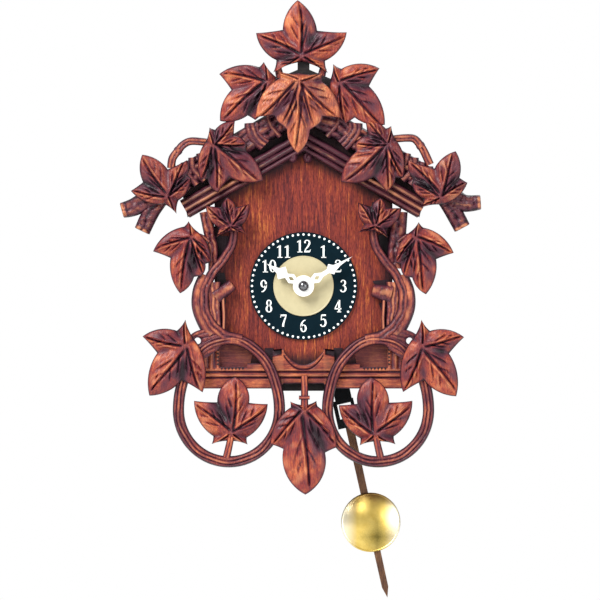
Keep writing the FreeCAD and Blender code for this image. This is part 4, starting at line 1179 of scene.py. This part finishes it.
# ---- dial
NUMERAL_HIGH = 4.7
NUMERAL_AT = 14.8
DOT_AT = 19.1
DOT_R = 0.42
INK_FRONT = Y_DIAL - 0.06
THICK = 0.15
THIN = 0.06

# pen strokes of each figure, in a box one high: points, then the pen's width at each; a ring has
# its middle, its half width and height, and the pen's width at its sides
STROKES = {
    "0": [("ring", 0.30, 0.50, 0.28, 0.49, 0.15)],
    "1": [([(0.31, 0.98), (0.31, 0.03)], [THICK, THICK]),
          ([(0.12, 0.03), (0.52, 0.03)], [THIN, THIN]),
          ([(0.30, 0.95), (0.20, 0.86), (0.09, 0.81)], [0.09, 0.08, THIN])],
    "2": [([(0.11, 0.73), (0.15, 0.91), (0.30, 0.96), (0.45, 0.87), (0.46, 0.69), (0.34, 0.46),
            (0.18, 0.26), (0.09, 0.10)], [0.13, 0.09, THIN, 0.11, THICK, 0.12, 0.08, 0.07]),
          ([(0.06, 0.07), (0.50, 0.07)], [0.13, 0.13]), ([(0.50, 0.05), (0.54, 0.24)], [0.07, 0.04])],
    "3": [([(0.11, 0.80), (0.20, 0.94), (0.32, 0.95), (0.43, 0.84), (0.42, 0.66), (0.32, 0.56),
            (0.22, 0.53)], [0.12, 0.08, 0.07, 0.13, 0.13, 0.08, 0.05]),
          ([(0.24, 0.53), (0.40, 0.48), (0.47, 0.29), (0.40, 0.10), (0.26, 0.04), (0.13, 0.09),
            (0.09, 0.20)], [0.05, 0.10, THICK, 0.12, 0.07, 0.08, 0.13])],
    "4": [([(0.38, 0.97), (0.05, 0.30)], [0.07, 0.07]),
          ([(0.03, 0.28), (0.56, 0.28)], [0.09, 0.09]),
          ([(0.39, 0.97), (0.39, 0.03)], [THICK, THICK]),
          ([(0.22, 0.03), (0.55, 0.03)], [THIN, THIN])],
    "5": [([(0.13, 0.91), (0.49, 0.93)], [0.13, 0.12]),
          ([(0.14, 0.95), (0.12, 0.52)], [THIN, THIN]),
          ([(0.13, 0.55), (0.28, 0.62), (0.42, 0.53), (0.47, 0.32), (0.40, 0.11), (0.26, 0.04),
            (0.13, 0.09), (0.09, 0.20)], [0.05, 0.08, 0.13, THICK, 0.12, 0.07, 0.08, 0.13])],
    "6": [("ring", 0.30, 0.31, 0.25, 0.30, 0.14),
          ([(0.12, 0.33), (0.14, 0.62), (0.28, 0.88), (0.46, 0.96)], [THICK, 0.14, 0.09, 0.07])],
    "7": [([(0.06, 0.91), (0.54, 0.91)], [0.13, 0.13]),
          ([(0.08, 0.95), (0.07, 0.73)], [THIN, 0.04]),
          ([(0.51, 0.89), (0.38, 0.55), (0.29, 0.26), (0.26, 0.02)], [0.07, 0.11, THICK, 0.16])],
    "8": [("ring", 0.30, 0.74, 0.21, 0.25, 0.12), ("ring", 0.30, 0.27, 0.26, 0.28, 0.14)],
    "9": [("ring", 0.30, 0.68, 0.25, 0.30, 0.14),
          ([(0.48, 0.66), (0.46, 0.37), (0.32, 0.12), (0.14, 0.04)], [THICK, 0.14, 0.09, 0.07])],
}
FIGURE_STEP = 0.60


def ribbon(shape, points, widths):
    """A pen stroke, a little proud of the dial."""
    count = 6 * (len(points) - 1)
    line = spline(points, count)
    rows = []
    for i, (x, h) in enumerate(line):
        nx, nh = across_at(line, i)
        place = i / count * (len(widths) - 1)
        k = min(int(place), len(widths) - 2)
        half = (widths[k] + (place - k) * (widths[k + 1] - widths[k])) / 2
        corners = ((half, INK_FRONT), (-half, INK_FRONT), (-half, Y_DIAL), (half, Y_DIAL))
        rows.append([shape.point(x + nx * off, y, h + nh * off) for off, y in corners])
    shape.skin(rows, closed_columns=True)
    shape.cap(rows[0], rows[-1])


def ring_stroke(shape, x, h, wide, tall, thick, thin):
    """A closed oval stroke, thick at its sides and thin at its top and foot."""
    rows = []
    for c, s in circle(28):
        inner = (x + (wide - thick) * c, h + (tall - thin) * s)
        outer = (x + wide * c, h + tall * s)
        corners = ((outer, INK_FRONT), (inner, INK_FRONT), (inner, Y_DIAL), (outer, Y_DIAL))
        rows.append([shape.point(px, y, ph) for (px, ph), y in corners])
    shape.skin(rows, closed_rows=True, closed_columns=True)


def numerals():
    shape = Shape()
    for hour in range(1, 13):
        figures = str(hour)
        wide = FIGURE_STEP * NUMERAL_HIGH * len(figures)
        cx, ch = turn(90 - 30 * hour, NUMERAL_AT)
        foot = ch - NUMERAL_HIGH / 2
        for n, figure in enumerate(figures):
            left = cx - wide / 2 + n * FIGURE_STEP * NUMERAL_HIGH
            for stroke in STROKES[figure]:
                if stroke[0] == "ring":
                    x, h, *sizes = [value * NUMERAL_HIGH for value in (*stroke[1:], THIN)]
                    ring_stroke(shape, left + x, foot + h, *sizes)
                else:
                    points = [(left + x * NUMERAL_HIGH, foot + h * NUMERAL_HIGH) for x, h in stroke[0]]
                    ribbon(shape, points, [width * NUMERAL_HIGH for width in stroke[1]])
    shape.make("dial_numerals", ink, slot="white_plastic", angle=30.0)


def minute_dots():
    shape = Shape()
    for minute in range(60):
        cx, ch = turn(6 * minute, DOT_AT)
        rim = [(cx + DOT_R * c, ch + DOT_R * s) for c, s in circle(14)]
        front = [shape.point(x, INK_FRONT, h) for x, h in rim]
        back = [shape.point(x, Y_DIAL, h) for x, h in rim]
        shape.skin([front, back], closed_columns=True)
        shape.cap(front, back)
    shape.make("minute_dots", ink, slot="white_plastic", angle=30.0)


def turned_ring(name, material, profile, body="case", x=0.0, h=0.0, replaces=(), slot=None):
    """A turned piece about an axis along y, from radius and depth pairs in a closed loop."""
    shape = Shape()
    rows = [[shape.point(x + radius * c, y, h + radius * s) for radius, y in profile]
            for c, s in circle(128)]
    shape.skin(rows, closed_rows=True, closed_columns=True)
    shape.make(name, material, body, replaces, slot, 40.0)


def dial_rims():
    front = low("dial_centre", 1)
    edge = high("dial_centre", 0)
    turned_ring("dial_centre_rim", gilt, [
        (edge - 0.55, front), (edge - 0.35, front - 0.12), (edge - 0.1, front - 0.12), (edge, front),
        (edge, Y_DIAL), (edge - 0.55, Y_DIAL),
    ], slot="white_plastic")
    turned_ring("dial_edge", dial_paint, [
        (DIAL_R - 0.5, Y_DIAL), (DIAL_R - 0.3, Y_DIAL - 0.12), (DIAL_R - 0.08, Y_DIAL - 0.06),
        (DIAL_R, Y_DIAL + 0.1), (DIAL_R, Y_DIAL + 0.4), (DIAL_R - 0.5, Y_DIAL + 0.4),
    ], slot="dial_black")


# ---- pendulum bob
def bob_brass(x, h, radius):
    """Polished brass with painted reflections: dark under the top edge, a dark spotted patch low on
    the face and pale at both sides.
    """
    material, tree = new_material("bob_brass")
    place_x, place_z = axes(tree)
    across = (place_x - x * MM) * (1 / (radius * MM))
    up = (place_z - (DIAL_Z + h) * MM) * (1 / (radius * MM))
    cloud = noise_node(tree, EVEN, 220.0, 3.0)
    spots = noise_node(tree, EVEN, 2600.0, 3.0, 0.7)
    # painted reflections: a dark band under the top edge, a dark patch low on the face, pale glare at
    # both sides
    top = ((up + across * across * 0.25 - 0.66) * 3.2).limited()
    patch = 0.62 - (abs(across - 0.22) * 1.25 + abs(up + 0.48))
    patch = (patch + spots * 0.5).limited()
    painted_side_glare = ((abs(across) - 0.45) * 2.2).limited()
    colour = ramp(cloud, (0.35, (0.70, 0.49, 0.11)), (0.65, (0.86, 0.64, 0.18)))
    colour = mix(painted_side_glare, colour, (0.98, 0.90, 0.68))
    colour = mix((patch * 1.2).limited(), colour, (0.17, 0.13, 0.030))
    colour = mix(top * 0.85, colour, (0.17, 0.070, 0.030))
    return finish(material, {
        "Metallic": 1.0,
        "Base Color": colour,
        "Roughness": 0.34,
        "Normal": bump(spots, 0.15, 0.00004),
    })


def bob_piece():
    """The stamped brass bob: a shallow dome with a rolled edge, hollow behind."""
    x = (low("bob", 0) + high("bob", 0)) / 2
    h = (low("bob", 2) + high("bob", 2)) / 2 - DIAL_Z
    radius = (high("bob", 0) - low("bob", 0)) / 2
    front, back = low("bob", 1), high("bob", 1)
    dome_edge = radius - 0.7
    rim = back - 0.9
    ball = (dome_edge ** 2 + (rim - front) ** 2) / (2 * (rim - front))
    steps = 22
    profile = []
    for i in range(steps + 1):
        r = dome_edge * i / steps + (0.02 if i == 0 else 0.0)
        profile.append((r, front + ball - math.sqrt(ball ** 2 - r ** 2)))
    profile += [(radius - 0.45, rim - 0.12), (radius - 0.1, rim + 0.1), (radius, rim + 0.4),
                (radius - 0.1, back - 0.1), (radius - 0.4, back), (0.02, back)]
    turned_ring("bob_domed", bob_brass(x, h, radius), profile, "bob", x, h, ("bob",), "brass")


# ---- CAD pieces that stay
def dress(material, *names, bevel=0.0):
    for name in names:
        node = NODES[name]
        node.data.materials.clear()
        node.data.materials.append(material)
        if bevel:
            edge = node.modifiers.new("edge", "BEVEL")
            edge.width = bevel * MM
            edge.segments = 2
            edge.limit_method = "ANGLE"
            edge.angle_limit = math.radians(40)


def dress_nodes():
    dress(board_wood(), "front_board", bevel=0.2)
    dress(case_wood, "back_board", "side_wall_left", "side_wall_right", bevel=0.25)
    dress(roof_wood, "roof_board_left", "roof_board_right", bevel=0.3)
    # the bottom board and the crown backing are painted near black as the shade under the case and
    # behind the gable
    dress(shade_black_wood, "bottom_board", bevel=0.2)
    dress(shade_black_wood, "crown_backing", bevel=0.3)
    dress(dial_paint, "dial_disc")
    dress(gilt, "dial_centre")
    dress(white_plastic, "minute_hand", "hour_hand", bevel=0.14)
    dress(white_plastic, "hour_wheel")
    dress(dark_steel, "hand_nut")
    dress(steel, "board_screws", "battery_contacts", "pendulum_magnet")
    dress(brass, "centre_bush", "bush_nut", "minute_arbor", "minute_wheel", "bob_clip")
    dress(black_plastic, "movement_case", "movement_cover", "set_knob", "pendulum_hanger", bevel=0.2)
    dress(green_board, "circuit_board")
    dress(copper, "motor_coil", "drive_coil")
    dress(battery_skin, "battery", bevel=0.3)
    dress(rod_wood, "pendulum_rod", bevel=0.2)


# ---- studio
VIEW_WIDTH = 222.0              # what the camera's width takes in at the face of the carving
VIEW_DISTANCE = 3.0             # metres
VIEW_X = -1.3
VIEW_H = -5.2
SENSOR = 36.0
SKY_LIGHT = 0.45                # the white sky lights the clock this strongly
SKY_SEEN = 1.0                  # and shows behind it this bright
FLOOR_DROP = 0.06               # metres
FLOOR_HALF = 0.7
FLOOR_CORNERS = ((-1, -1), (1, -1), (1, 1), (-1, 1))


def area_light(name, place, target, size, power):
    data = bpy.data.lights.new(name, "AREA")
    data.size = size
    data.energy = power
    light = add_object(name, data)
    light.location = place
    light.rotation_mode = "QUATERNION"
    light.rotation_quaternion = (Vector(target) - Vector(place)).to_track_quat("-Z", "Y")


def pale_floor():
    floor_z = cad_box[0][2] - FLOOR_DROP
    mesh = bpy.data.meshes.new("floor")
    mesh.from_pydata([(x * FLOOR_HALF, y * FLOOR_HALF, floor_z) for x, y in FLOOR_CORNERS], [],
                     [(0, 1, 2, 3)])
    mesh.materials.append(plastic("floor_paint", (0.86, 0.86, 0.85), 0.8, 0.01))
    add_object("floor", mesh)


def white_sky():
    world = bpy.data.worlds.new("studio")
    world.use_nodes = True
    tree = world.node_tree
    background = tree.nodes["Background"]
    background.inputs["Color"].default_value = (1.0, 1.0, 1.0, 1.0)
    path = tree.nodes.new("ShaderNodeLightPath")
    seen = tree.nodes.new("ShaderNodeMapRange")
    seen.inputs["To Min"].default_value = SKY_LIGHT
    seen.inputs["To Max"].default_value = SKY_SEEN
    tree.links.new(path.outputs["Is Camera Ray"], seen.inputs["Value"])
    tree.links.new(seen.outputs["Result"], background.inputs["Strength"])
    bpy.context.scene.world = world
    bpy.context.scene.view_settings.view_transform = "Standard"


def studio():
    pale_floor()
    white_sky()
    middle = (0.0, -0.03, (DIAL_Z + VIEW_H) * MM)
    area_light("key", (-0.55, -0.85, middle[2] + 0.70), middle, 0.60, 19.0)
    area_light("fill", (0.80, -0.90, middle[2] + 0.10), middle, 0.8, 6.0)
    area_light("rim", (0.30, 0.60, middle[2] + 0.70), middle, 0.5, 2.5)

    data = bpy.data.cameras.new("camera")
    data.sensor_width = SENSOR
    data.lens = SENSOR * VIEW_DISTANCE / (VIEW_WIDTH * MM)
    data.clip_start = 0.05
    camera = add_object("camera", data)
    camera.location = (VIEW_X * MM, Y_FRAME * MM - VIEW_DISTANCE, middle[2])
    camera.rotation_euler = (math.radians(90), 0.0, 0.0)
    bpy.context.scene.camera = camera


make_leaves()
for side_name, side_sign in (("left", -1), ("right", 1)):
    loop_piece(side_name, side_sign)
    vine_piece(side_name, side_sign)
    fascia_piece(side_name, side_sign)
    branch_piece(side_name, side_sign)
    stem_piece(side_name, side_sign)
scrolls()
base_rail_piece()
numerals()
minute_dots()
dial_rims()
bob_piece()
dress_nodes()
studio()
